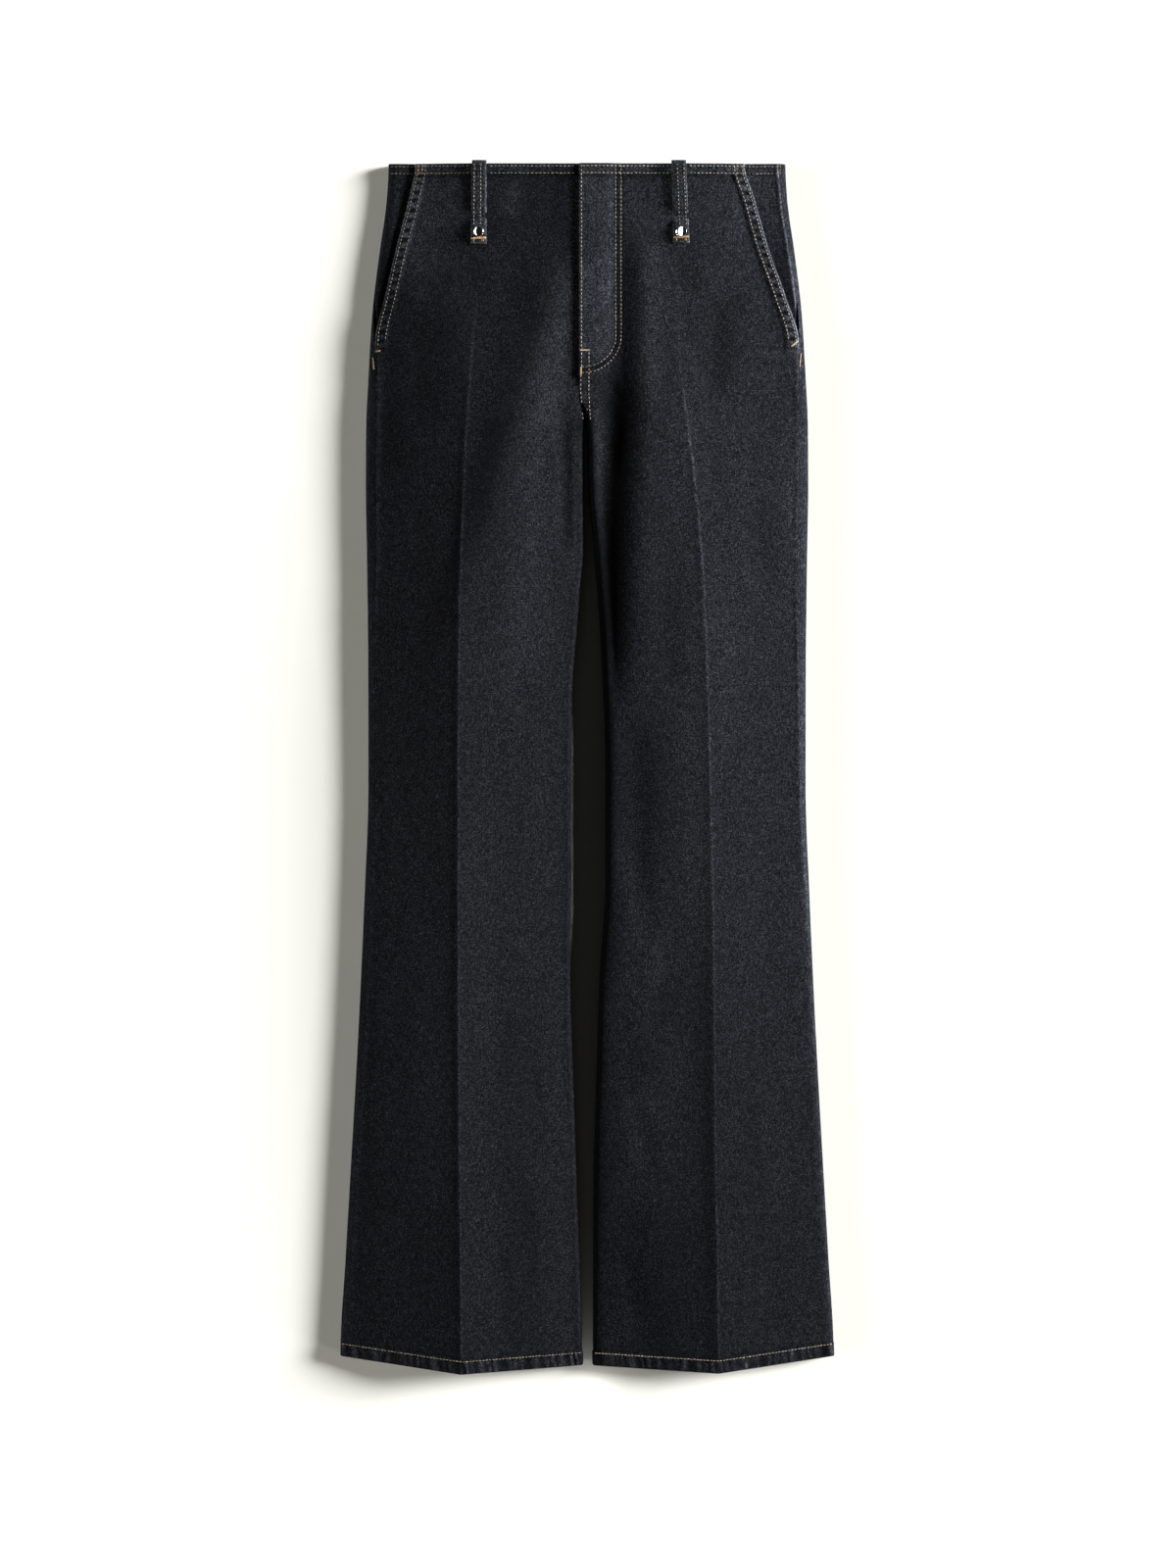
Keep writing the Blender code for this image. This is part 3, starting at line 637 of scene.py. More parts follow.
def fly_finish(x, drop):
    """Height and wear of the fly: a soft edge, rows in grooves, and paler cloth inside them, partly painted
    light.
    """
    from_edge = x - front_edge("left", drop)
    above = 1 - leg_share(drop)
    inner = distance_to(fly_curve("inner"), x, drop)
    outer = distance_to(fly_curve("outer"), x, drop)
    between = bump(np.maximum(inner, outer) - 2.6, 1.6)
    height = soft_edge(from_edge) * above
    height = height - ROW_GROOVE * (bump(inner, 0.9) + bump(outer, 0.9)) + 0.3 * between
    wear = (0.5 * bump(from_edge, 0.9) + 0.1 * bump(from_edge - 3.5, 1.5)) * above
    wear = wear - 0.34 * between
    wear = wear - 0.2 * bump(np.where(x > FLY_ROWS["outer"], outer, 9.0) - 1.8, 1.0)
    # Paler cloth inside the rows: painted light on the raised fly, with a cloudy, slubby fade
    inside = smooth((FLY_ROWS["inner"] - 1 - x) / 2) * (1 - smooth((drop - FLY_PALE_TO) / 8))
    cloud = 0.5 + 0.5 * wobble(drop + 0.8 * x, 61, 38)
    slubs = 0.07 * wobble(x + 0.01 * drop, 63, 5)
    wear = wear + inside * (0.11 + 0.12 * cloud + slubs) * smooth((drop - FLY_PALE_FROM) / 4)
    return height, wear


# How bright each leg is on the whole: painted falloff of the key light, darker down the legs and on the
# left of the view, with each leg's wash
LEG_WASH_AND_FALLOFF = Table(
    ("drop", "right", "left"),
    (0, 0.80, 1.20),
    (200, 0.68, 1.15),
    (350, 0.62, 1.08),
    (570, 0.60, 0.97),
    (870, 0.58, 0.73),
    (1095, 0.54, 0.62),
)
TONE_BLEND = 12
# Painted shade beside each crease, from a drop on, and along the inner edges of the legs, where the cloth
# turns away from the light: share and half width
CREASE_SHADE_FROM = 150
CREASE_SHADE_RUN = 90
CREASE_SHADE_PLACE = 3.6
CREASE_SHADE = {"right": (0.35, 3.2), "left": (0.15, 3.2)}
INNER_SHADE = {"right": (0.35, 5), "left": (0.78, 6.5)}
STREAK_FADE_SHARE = 0.3
# Streaks of painted light and shade, darker (amount below 0) or paler, as rows of stroke, and narrow pale
# lines along the creases
LIGHT_AND_SHADE_STREAKS = (
    # right hip
    (110, -101, 238, -110, 1.7, 0.3),
    (-20, -66, 60, -66, 14, 0.45),
    (-20, -26, 80, -25, 7, -0.35),
    (-20, -118, 60, -119, 9, 0.3),
    (30, -104, 130, -100, 14, -0.3),
    (-80, -60, 190, -50, 44, -0.30),
    (110, -130, 260, -140, 30, -0.22),
    (70, -74, 210, -64, 15, 0.1),
    (70, -6, 270, -44, 15, 1.0),
    (70, -15, 130, -16, 1.6, 0.45),
    (-30, -150, 120, -160, 24, 0.5),
    # right thigh
    (60, -26, 400, -118, 16, -0.52),
    (238, -110, 420, -117, 1.7, 0.34),
    (190, -68, 470, -152, 15, -0.4),
    (70, -176, 330, -180, 21, -0.5),
    (200, -43, 520, -58, 17, 0.55),
    (200, -12, 420, -12, 5, 0.5),
    (200, -165, 640, -168, 34, -0.08),
    (180, -196, 280, -197, 9, 0.3),
    # right knee
    (560, -96, 820, -90, 22, 0.1),
    # right shin and hem
    (420, -170, 1000, -160, 32, 0.16),
    (300, -198, 1180, -208, 12, -0.25),
    (640, -146, 980, -138, 16, 0.25),
    (660, -74, 1180, -54, 20, -0.28),
    (930, -50, 1040, -49, 9, -0.15),
    # left hip
    (-20, 74, 44, 74, 8, 0.7),
    (-20, 138, 80, 144, 10, 0.35),
    (20, 34, 290, 26, 14, -0.46),
    (100, 85, 175, 85.5, 1.7, 0.3),
    (10, 5, 170, 5, 13, -0.1),
    (50, 56, 240, 60, 10, 0.6),
    (-20, 62, 170, 74, 16, 0.1),
    (100, 134, 220, 126, 18, -0.25),
    (50, 92, 180, 110, 18, -0.25),
    (140, 96, 200, 108, 8, -0.22),
    (80, 184, 210, 194, 7, 0.7),
    # left thigh
    (175, 85.5, 311, 101, 1.7, 0.34),
    (311, 101, 470, 110, 1.7, 0.3),
    (110, 33, 540, 20, 19, -0.86),
    (250, 18, 640, 16, 9, -0.7),
    (180, 84, 420, 78, 24, 0.2),
    (320, 128, 560, 132, 14, 0.15),
    (200, 190, 420, 191, 10, 0.35),
    # left knee
    (470, 20, 800, 14, 20, -0.55),
    (340, 98, 760, 98, 15, 0.3),
    (380, 198, 760, 205, 8, 0.5),
    (490, 48, 650, 52, 22, -0.2),
    # left shin and hem
    (640, 12, 1060, 10, 14, -0.35),
    (680, 42, 820, 46, 18, 0.22),
    (740, 68, 860, 48, 15, -0.26),
    (780, 78, 900, 74, 18, 0.16),
    (560, 60, 1120, 62, 32, 0.22),
    (660, 108, 1180, 114, 8, -0.3),
    (940, 62, 1160, 66, 30, -0.3),
    (920, 46, 1070, 42, 15, -0.2),
)


# All the streaks of painted light and shade together, as a factor on the colour
def light_and_shade_at(x, drop):
    gain = 1.0
    for row in LIGHT_AND_SHADE_STREAKS:
        gain = gain * (1 + stroke(row, x, drop, STREAK_FADE_SHARE))
    return gain


def tone_at(x, drop):
    """How much of its colour the cloth keeps at a place: painted falloff of the light with the legs' wash,
    streaks of painted light and shade, and painted shade beside the creases and along the inner edges.
    """
    share = smooth((x - MIDDLE_X + TONE_BLEND) / (2 * TONE_BLEND))
    tone_and_light = mix(LEG_WASH_AND_FALLOFF.at("right", drop), LEG_WASH_AND_FALLOFF.at("left", drop), share) * light_and_shade_at(x, drop)
    line = smooth((drop - CREASE_SHADE_FROM) / CREASE_SHADE_RUN)
    edges = 0.0
    # Painted shade beside the creases and along the inner edges of the legs
    for side, sign in SIDES.items():
        amount, half_width = CREASE_SHADE[side]
        from_crease = x - sign * RELIEF.at("crease_" + side, drop) + CREASE_SHADE_PLACE
        tone_and_light = tone_and_light * (1 - amount * line * bump(from_crease, half_width))
        amount, half_width = INNER_SHADE[side]
        edges = edges + amount * bump(x - LEG_EDGES.at(side, drop) - sign, half_width)
    return tone_and_light * (1 - edges * leg_share(drop))


# ---- meshes

WEAR_STRENGTH = 2.2
CLOTH_SHARP_ANGLE = 55


def new_object(name, mesh, *materials):
    for material in materials:
        mesh.materials.append(material)
    thing = bpy.data.objects.new(name, mesh)
    bpy.context.scene.collection.objects.link(thing)
    return thing


def ring_faces(first, rings, sides):
    """Faces between rings of vertices, then one that closes the first ring."""
    faces = []
    for low in range(first, first + (rings - 1) * sides, sides):
        for k in range(sides):
            j = (k + 1) % sides
            faces.append((low + k, low + j, low + sides + j, low + sides + k))
    return faces + [tuple(range(first + sides - 1, first - 1, -1))]


def shell(name, points, sign, wear, tone_and_light, outside, inside, wall=WALL):
    """A closed thin shell: a grid of outer points, the same points moved in, and cut edges."""
    rows, columns = points.shape[:2]
    inner = points - normals_of(points, sign) * wall
    vertices = np.concatenate([points.reshape(-1, 3), inner.reshape(-1, 3)]) * MM
    index = np.arange(rows * columns).reshape(rows, columns)
    quads = np.stack([index[:-1, :-1], index[:-1, 1:], index[1:, 1:], index[1:, :-1]], axis=-1)
    outer_faces = quads.reshape(-1, 4)[:, :: -int(sign)]
    inner_faces = outer_faces[:, ::-1] + rows * columns
    rim = np.concatenate([index[0, :-1], index[:-1, -1], index[-1, :0:-1], index[:0:-1, 0]])
    after = np.roll(rim, -1)
    rim_faces = np.stack([rim, rim + rows * columns, after + rows * columns, after], axis=-1)
    rim_faces = rim_faces[:, :: int(sign)]
    faces = np.concatenate([outer_faces, inner_faces, rim_faces])
    mesh = bpy.data.meshes.new(name)
    mesh.from_pydata(vertices.tolist(), [], faces.tolist())
    mesh.shade_smooth()
    mesh.set_sharp_from_angle(angle=math.radians(CLOTH_SHARP_ANGLE))
    thing = new_object(name, mesh, outside, inside)
    slots = np.zeros(len(faces), np.int32)
    slots[len(outer_faces) : len(outer_faces) + len(inner_faces)] = 1
    mesh.polygons.foreach_set("material_index", slots)
    # The factor on each point's colour: painted light and shade with the cloth's tone, raised or lowered by
    # its wear
    layer = mesh.attributes.new("tone_and_light", "FLOAT", "POINT")
    shown = tone_and_light * np.exp(WEAR_STRENGTH * wear)
    both = np.concatenate([shown.ravel(), np.ones(shown.size)])
    layer.data.foreach_set("value", both.astype(np.float32))
    mesh.update()
    return thing


def panel(side, columns, dip):
    """A grid of points for a front or a back, with the x and the drop of each."""
    drops = row_drops()
    x, z = columns(side, drops)
    drop = drops + 0 * x
    y = WAIST_Y - drop - dip(side, np.abs(x), drop)
    return np.stack([x, y, z], axis=2), x, drop


def make_front(side, cloth, lining):
    points, x, drop = panel(side, front_columns, hem_dip)
    raised, wear = front_finish(side, x, drop)
    points = points + normals_of(points, SIDES[side]) * raised[..., None]
    return shell("cloth_front_" + side, points, SIDES[side], wear, tone_at(x, drop), cloth, lining)


def make_back(side, cloth, lining):
    points, x, drop = panel(side, back_columns, back_dip)
    columns_from_seam = np.arange(x.shape[1]) + 0 * x
    wear = 0.18 * bump(columns_from_seam, 1.0)
    return shell("cloth_back_" + side, points, SIDES[side], wear, tone_at(x, drop), cloth, lining)


# Painted light on the facing at the right of the view and painted shade on the one at the left, as factors
# on their colour; then how pale the worn seam edge of each facing is
FACING_LIGHT_AND_SHADE = {"right": 0.7, "left": 1.75}
SEAM_WEAR = {"right": 0.2, "left": 0.7}


def make_facing(side, cloth, lining):
    """The piece behind the slanted opening: it fills out to the side seam, one layer lower."""
    sign = SIDES[side]
    drops = row_drops(POCKET_END_DROP)
    seam = seam_reach(side, drops)
    edge = np.minimum(POCKET_EDGES.at(side, drops), seam - FACING_LEAST_WIDTH)
    start, end = FACING_SINK_DROPS
    sunk = smooth((drops - start) / (end - start))
    shares = towards_end(FACING_COLUMNS)
    tucked = mix(edge - FACING_TUCK, edge, np.arange(TUCK_COLUMNS) / TUCK_COLUMNS)
    reach = np.hstack([tucked, mix(edge, seam, shares)])
    depth = np.hstack([np.ones_like(tucked), mix(1 - shares, 1.0, sunk)])
    drop = drops + 0 * reach
    x = sign * reach
    points = np.stack([x, WAIST_Y - drop, top_height(x, drop)], axis=2)
    beyond = smooth((reach - edge) / 3)
    raised = -FACING_DEPTH * depth + on_waist(drop) * beyond * 0.6
    from_seam = seam - reach
    raised = raised + 0.35 * bump(from_seam - 2.0, 1.8)
    points = points + normals_of(points, sign) * raised[..., None]
    dashes = 0.6 + 0.4 * rope(drop, 0, 5.4, 71)
    wear = SEAM_WEAR[side] * bump(from_seam - 1.4, 0.8) * dashes + 0.25 * bump(drop, 0.8)
    wear = wear - 0.2 * bump(from_seam - 4.4, 1.2)
    tone_and_light = tone_at(x, drop) * FACING_LIGHT_AND_SHADE[side]
    return shell("cloth_pocket_facing_" + side, points, sign, wear, tone_and_light, cloth, lining)


# ---- materials


class Nodes:
    """Short ways to add and join a material's nodes."""

    def __init__(self, name):
        self.material = bpy.data.materials.new(name)
        self.material.use_nodes = True
        self.tree = self.material.node_tree
        self.shader = self.tree.nodes["Principled BSDF"]

    def add(self, kind, inputs=None, **settings):
        node = self.tree.nodes.new(kind)
        for key, value in settings.items():
            setattr(node, key, value)
        for key, value in (inputs or {}).items():
            self.put(value, node.inputs[key])
        return node

    def put(self, value, socket):
        if isinstance(value, bpy.types.NodeSocket):
            self.tree.links.new(value, socket)
        else:
            socket.default_value = value

    def math(self, operation, *values, clamp=False):
        node = self.add("ShaderNodeMath", dict(enumerate(values)), operation=operation, use_clamp=clamp)
        return node.outputs[0]

    def place(self):
        return self.add("ShaderNodeTexCoord").outputs["Object"]

    def attribute(self, name):
        return self.add("ShaderNodeAttribute", attribute_name=name).outputs["Fac"]

    def noise(self, vector, scale, detail=2.0):
        inputs = {"Vector": vector, "Scale": scale, "Detail": detail}
        return self.add("ShaderNodeTexNoise", inputs).outputs["Fac"]

    def ribs(self, vector, scale, distortion=0.0):
        inputs = {"Vector": vector, "Scale": scale, "Distortion": distortion}
        return self.add("ShaderNodeTexWave", inputs, bands_direction="DIAGONAL").outputs["Fac"]

    def stretched(self, vector, scale):
        return self.add("ShaderNodeMapping", {"Vector": vector, "Scale": scale}).outputs["Vector"]

    def scaled(self, vector, factor):
        return self.add("ShaderNodeVectorMath", {0: vector, "Scale": factor}, operation="SCALE").outputs[0]

    def line(self, value, times, plus):
        return self.math("ADD", plus, self.math("MULTIPLY", value, times))

    def colours(self, factor, first, second):
        """From the first to the second, each an (r, g, b) or the output of a node."""
        node = self.add("ShaderNodeMix", data_type="RGBA")
        self.put(factor, node.inputs[0])
        for key, value in ((6, first), (7, second)):
            self.put((*value, 1) if isinstance(value, tuple) else value, node.inputs[key])
        return node.outputs[2]

    def bumps(self, height, strength, distance):
        inputs = {"Height": height, "Strength": strength, "Distance": distance}
        return self.add("ShaderNodeBump", inputs).outputs[0]

    def finished(self, inputs):
        for key, value in inputs.items():
            self.put(value, self.shader.inputs[key])
        return self.material


# Flecks per metre, across and along the leg, of the coarse and the fine grain
COARSE_GRAIN = (1480, 1320)
FINE_GRAIN = (2300, 2300)
# Waves of noise per metre, across, along and up
SLUBS = (1500, 170, 300)
WEFT_SLUBS = (170, 1500, 300)
CLOUDS = (40, 18, 30)
MOTTLE = (210, 110, 200)
STIR_SCALE = 260.0
STIR_SIZE = 0.0022
TWILL_SCALE = 80.0
TWILL_SLANT = 0.62
# How strongly each kind of grain shows in the colour, and in the relief
GRAIN_WEIGHTS = {"coarse": 2.8, "fine": 2.6, "slub": 2.7, "weft": 2.1, "cloud": 0.5, "mottle": 0.3}
RELIEF_WEIGHTS = {"slub": 0.9, "weft": 0.6, "mottle": 0.5, "twill": 0.2}
# Each cloth's dark and light colours, and how much of the light one shows
CLOTHS = {
    "denim": ((0.0022, 0.0027, 0.0040), (0.0455, 0.0480, 0.0565), 0.132),
    "denim_back": ((0.0021, 0.0026, 0.0038), (0.0425, 0.0448, 0.0530), 0.11),
    "denim_facing": ((0.0021, 0.0026, 0.0038), (0.0425, 0.0448, 0.0530), 0.13),
    "denim_reverse": ((0.014, 0.0155, 0.02), (0.09, 0.095, 0.11), 0.35),
    "denim_loop": ((0.0026, 0.0031, 0.0043), (0.054, 0.0560, 0.064), 0.165),
}


def cells(n, at, counts):
    """A random value for each small cell, like the light threads that show between dark ones."""
    scaled = n.stretched(at, (*counts, 0.0))
    snapped = n.add("ShaderNodeVectorMath", {0: scaled}, operation="FLOOR").outputs[0]
    return n.add("ShaderNodeTexWhiteNoise", {"Vector": snapped}, noise_dimensions="2D").outputs["Value"]


def denim(name):
    """Twill of dark warp and light weft: fine flecks, slubs both ways and soft clouds."""
    dark, light, base = CLOTHS[name]
    n = Nodes(name)
    at = n.place()
    stir = n.add("ShaderNodeTexNoise", {"Vector": at, "Scale": STIR_SCALE, "Detail": 1.0})
    stir = n.scaled(stir.outputs["Color"], STIR_SIZE)
    moved = n.add("ShaderNodeVectorMath", {0: at, 1: stir}, operation="ADD").outputs[0]
    grain = {
        "coarse": cells(n, moved, COARSE_GRAIN),
        "fine": cells(n, moved, FINE_GRAIN),
        "slub": n.noise(n.stretched(at, SLUBS), 1.0, 1.0),
        "weft": n.noise(n.stretched(at, WEFT_SLUBS), 1.0, 1.0),
        "cloud": n.noise(n.stretched(at, CLOUDS), 1.0, 3.0),
        "mottle": n.noise(n.stretched(at, MOTTLE), 1.0, 2.0),
        "twill": n.ribs(n.stretched(at, (1, TWILL_SLANT, 1)), TWILL_SCALE),
    }
    total = 0.0
    for kind, weight in GRAIN_WEIGHTS.items():
        total = n.line(n.math("SUBTRACT", grain[kind], 0.5), weight, total)
    relief = 0.0
    for kind, weight in RELIEF_WEIGHTS.items():
        relief = n.line(grain[kind], weight, relief)
    shade = n.math("MULTIPLY", n.math("EXPONENT", total), base, clamp=True)
    # The colour is scaled by each point's factor of painted light and shade, tone and wear
    inputs = {
        "Base Color": n.scaled(n.colours(shade, dark, light), n.attribute("tone_and_light")),
        "Normal": n.bumps(relief, 0.22, 0.0005),
        "Roughness": n.line(grain["coarse"], 0.12, 0.85),
        "Specular IOR Level": 0.02,
    }
    return n.finished(inputs)


# Darkest and lightest colours of the other materials, and how fine their grain is, per metre
ECRU = ((0.32, 0.292, 0.24), (0.66, 0.605, 0.50))
GOLD = ((0.30, 0.135, 0.035), (0.62, 0.33, 0.10))
NICKEL = ((0.70, 0.70, 0.72), (0.84, 0.84, 0.86))
PAPER = ((0.79, 0.783, 0.73), (0.805, 0.798, 0.745))
THREAD_GRAIN = 700.0
PLY_GRAIN = 130.0
NICKEL_GRAIN = 900.0
PAPER_GRAIN = 30.0


def thread_material():
    """Polyester thread: each stitch has a tint between ecru (0) and copper gold (1)."""
    n = Nodes("thread")
    at = n.place()
    worn = n.noise(at, THREAD_GRAIN)
    colour = n.colours(n.attribute("tint"), n.colours(worn, *ECRU), n.colours(worn, *GOLD))
    inputs = {
        "Base Color": n.scaled(colour, n.attribute("pale")),
        "Normal": n.bumps(n.ribs(at, PLY_GRAIN, 1.5), 0.4, 0.0002),
        "Roughness": n.line(worn, 0.2, 0.5),
    }
    return n.finished(inputs)


def metal_material():
    n = Nodes("polished_nickel")
    smear = n.noise(n.place(), NICKEL_GRAIN, 3.0)
    colour = n.colours(smear, *NICKEL)
    return n.finished({"Base Color": colour, "Metallic": 1.0, "Roughness": n.line(smear, 0.1, 0.05)})


def floor_material():
    n = Nodes("pale_paper")
    colour = n.colours(n.noise(n.place(), PAPER_GRAIN), *PAPER)
    return n.finished({"Base Color": colour, "Roughness": 0.95, "Specular IOR Level": 0.1})


# ---- stitches

# Each stitch is a ring of points at each station: share of its length, of its radius, and lift
STITCH_SIDES = 6
STITCH_STATIONS = ((-0.5, 0.30, -0.30), (-0.28, 1.0, 0.12), (0.28, 1.0, 0.12), (0.5, 0.30, -0.30))
# How far ahead a stitch looks for its slope, and the longest such step, past which it is left out
LOOK_AHEAD = 0.8
LONGEST_STEP = 3


class Cloth:
    """Finds the top of one or more shells below a place."""

    def __init__(self, *things):
        self.trees = []
        for thing in things:
            vertices = [v.co for v in thing.data.vertices]
            polygons = [tuple(p.vertices) for p in thing.data.polygons]
            self.trees.append(BVHTree.FromPolygons(vertices, polygons))

    def under(self, x, y):
        """The highest point under (x, y) in millimetres, and its normal."""
        best = None
        for tree in self.trees:
            point, normal, _, _ = tree.ray_cast(Vector((x, y, 100)) * MM, Vector((0, 0, -1)))
            if point is not None and (best is None or point.z > best[0].z):
                best = (point, normal)
        if best is None:
            return None, None
        point, normal = best
        return point / MM, (normal if normal.z > 0 else -normal)


def varied_tint(tint, spread):
    return min(max(tint + random.normal(0, spread), 0), 1)


class Stitches:
    """Collects stitches and makes them one mesh."""

    def __init__(self, name, material):
        self.name, self.material = name, material
        self.vertices, self.faces, self.tints, self.pales = [], [], [], []

    def add(self, centre, along, up, length, radius, tint, pale):
        along = along.normalized()
        across = up.cross(along).normalized()
        up = along.cross(across).normalized()
        first = len(self.vertices)
        for share, size, lift in STITCH_STATIONS:
            middle = centre + along * (length * share) + up * (radius * lift)
            for k in range(STITCH_SIDES):
                turn = 2 * math.pi * k / STITCH_SIDES
                offset = across * math.cos(turn) + up * math.sin(turn)
                self.vertices.append((middle + offset * (radius * size)) * MM)
                self.tints.append(tint)
                self.pales.append(pale)
        self.faces += ring_faces(first, len(STITCH_STATIONS), STITCH_SIDES)
        self.faces.append(tuple(range(len(self.vertices) - STITCH_SIDES, len(self.vertices))))

    def row(self, cloth, line, tint, pale, pitch=3.6, length=2.2, radius=0.25, sway=0.08):
        """A row of stitches on the cloth along a line of (x, y) places."""
        for (x, y), (dx, dy) in walk(line, pitch):
            x += random.normal(0, sway)
            y += random.normal(0, sway)
            point, normal = cloth.under(x, y)
            ahead, _ = cloth.under(x + dx * LOOK_AHEAD, y + dy * LOOK_AHEAD)
            if point is None or ahead is None:
                continue
            along = ahead - point
            if along.length > LONGEST_STEP:
                continue
            own_tint = varied_tint(tint, 0.15)
            own_length = length * random.uniform(0.9, 1.06)
            own_pale = pale * random.uniform(0.55, 1.25)
            self.add(point + normal * radius * 0.45, along, normal, own_length, radius, own_tint, own_pale)

    def tack(self, cloth, start, end, width, tint, pale, radius=0.36, spacing=0.7, slant=0.25):
        """A bar tack: close stitches across a short line."""
        for (x, y), (dx, dy) in walk([start, end], spacing):
            point, normal = cloth.under(x, y)
            if point is None:
                continue
            along = Vector((-dy + slant * dx, dx + slant * dy, 0))
            own_width = width * random.uniform(0.85, 1.15)
            lift = normal * radius * random.uniform(0.8, 1.3)
            own_tint = varied_tint(tint, 0.12)
            own_pale = pale * random.uniform(0.7, 1.2)
            self.add(point + lift, along, normal, own_width, radius, own_tint, own_pale)

    def done(self):
        mesh = bpy.data.meshes.new(self.name)
        mesh.from_pydata(self.vertices, [], self.faces)
        mesh.shade_smooth()
        for key, values in (("tint", self.tints), ("pale", self.pales)):
            layer = mesh.attributes.new(key, "FLOAT", "POINT")
            layer.data.foreach_set("value", np.array(values, np.float32))
        return new_object(self.name, mesh, self.material)


def walk(line, pitch):
    """Places at even distances along a line of (x, y) places, each with its direction."""
    line = [np.array(p, float) for p in line]
    lengths = [np.linalg.norm(b - a) for a, b in zip(line, line[1:])]
    total = sum(lengths)
    count = max(int(total / pitch), 1)
    for k in range(count):
        rest = (k + 0.5) * total / count
        for (a, b), length in zip(zip(line, line[1:]), lengths):
            if rest <= length:
                direction = (b - a) / max(length, 1e-9)
                yield tuple(a + direction * rest), tuple(direction)
                break
            rest -= length


def at_drop(x, drop):
    return x, WAIST_Y - drop


def at_drops(*places):
    """(x, drop) places as (x, y)."""
    return [at_drop(x, drop) for x, drop in places]


WAIST_ROW_DROPS = (2.5, 9.0)
# The waist rows stop at the belt loops and at the fly edge: from x, to x, tint, paleness
WAIST_SPANS = ((-181, -108, 0.45, 0.4), (-90, -11, 0.12, 0.55), (-5, 76, 0.12, 0.9), (93, 176, 0.12, 0.9))
# Where the gold rows of the pockets and of the side seam cross the waist edge
WAIST_CROSSINGS = (-154.8, -151.4, 137.6, 143.4, 174.8, 177.6)
LOOPS = named_rows(
    ("top_x", "bottom_x", "top_width", "bottom_width", "length"),
    {"right": (-98.9, -99.5, 13.2, 14.8, 74), "left": (84.2, 86.6, 13.2, 15.0, 73)},
)
# The two rows of a pocket: distance inward, drop of the lower end, tint
POCKET_ROWS = ((2.6, 168, 0.1), (9.4, 162, 0.2))
POCKET_PALE = {"right": 0.32, "left": 0.78}
HEM_PALE = {"right": 0.5, "left": 0.75}
FLY_ROW_PALE = {"inner": 0.5, "outer": 0.62}
HEM_ROW_UP = 11.4
HEM_ROW_END = 225.3
FLY_EDGE_ROW = ((FLY_EDGE_X + 2.2, 1.0), (FLY_EDGE_X + 2.2, 172), (FLY_EDGE_X + 2.2, 188))
# The two rows of the rise, on each side of its seam
RISE_ROWS = (
    ((-5.8, 190), (-5.6, 212), (-4.6, 226), (-3.6, 236)),
    ((1.7, 173), (1.7, 212), (2.4, 226), (3.2, 236)),
)
# Bar tacks at the pocket ends, and the upright ones below them: start, end, width, tint, paleness
TACKS = (
    ((-194.2, 172.6), (-189.6, 172), 1.7, 0.8, 0.5),
    ((-196.6, 178), (-195.6, 189), 1.0, 0.8, 0.5),
    ((187.6, 168), (193.8, 163), 1.6, 0.45, 0.9),
    ((196.2, 174.5), (195.2, 186.5), 1.0, 0.6, 0.9),
)
# Bar tacks at the lower end of the fly, one across and one upright, in the same order of values
FLY_TACKS = (
    ((-6.4, 172), (2.2, 172), 1.5, 0.55, 0.8),
    ((-5.6, 187.5), (-5.6, 194.5), 1.4, 0.75, 0.8),
)


def waist_stitches(cloths, material):
    group = Stitches("stitches_waist", material)
    for start, end, tint, pale in WAIST_SPANS:
        for which, drop in enumerate(WAIST_ROW_DROPS):
            group.row(cloths, at_drops((start, drop), (end, drop)), tint + 0.1 * which, pale)
    for x in WAIST_CROSSINGS:
        group.row(cloths, at_drops((x, 0.8), (x, 10.5)), 0.9, 0.6, pitch=2.5)
    return group.done()


def with_tacks(group, cloths, rows):
    for start, end, width, tint, pale in rows:
        group.tack(cloths, at_drop(*start), at_drop(*end), width, tint, pale)
    return group


def pocket_stitches(side, cloths, material):
    group = Stitches("stitches_pocket_" + side, material)
    for inward, end, tint in POCKET_ROWS:
        drops = np.linspace(1.0, end, 44)
        reach = POCKET_EDGES.at(side, drops) - inward
        line = at_drops(*zip(SIDES[side] * reach, drops))
        group.row(cloths, line, tint, POCKET_PALE[side])
    return group.done()


def fly_stitches(cloths, material):
    group = Stitches("stitches_fly", material)
    for row, pale in FLY_ROW_PALE.items():
        group.row(cloths, at_drops(*fly_curve(row)), 0.22, pale)
    group.row(cloths, at_drops(*FLY_EDGE_ROW), 0.1, 0.72)
    for rise in RISE_ROWS:
        group.row(cloths, at_drops(*rise), 0.35, 0.62)
    return with_tacks(group, cloths, FLY_TACKS).done()


def hem_stitches(side, cloths, material):
    group = Stitches("stitches_hem_" + side, material)
    inner = abs(float(back_edge(side, np.array(HEM_DROP)))) + 1.5
    reaches = np.linspace(inner, HEM_ROW_END, 60)
    drops = np.full_like(reaches, HEM_DROP - HEM_ROW_UP)
    line = at_drops(*zip(SIDES[side] * reaches, drops + hem_dip(side, reaches, drops)))
    group.row(cloths, line, 0.3, HEM_PALE[side], pitch=3.0, length=2.35)
    return group.done()


def tacks(cloths, material):
    return with_tacks(Stitches("bar_tacks", material), cloths, TACKS).done()


# ---- belt loops and studs

LOOP_STEPS = 64
LOOP_ROWS = {"right": (-4.4, 1.6), "left": (-1.6, 4.4)}
LOOP_COLUMNS = 22
LOOP_WALL = 1.9
# How far a loop is pressed down below the top of its solid, which leaves room for a belt
LOOP_PRESS = 3.9
LOOP_STUD_DROP = 57
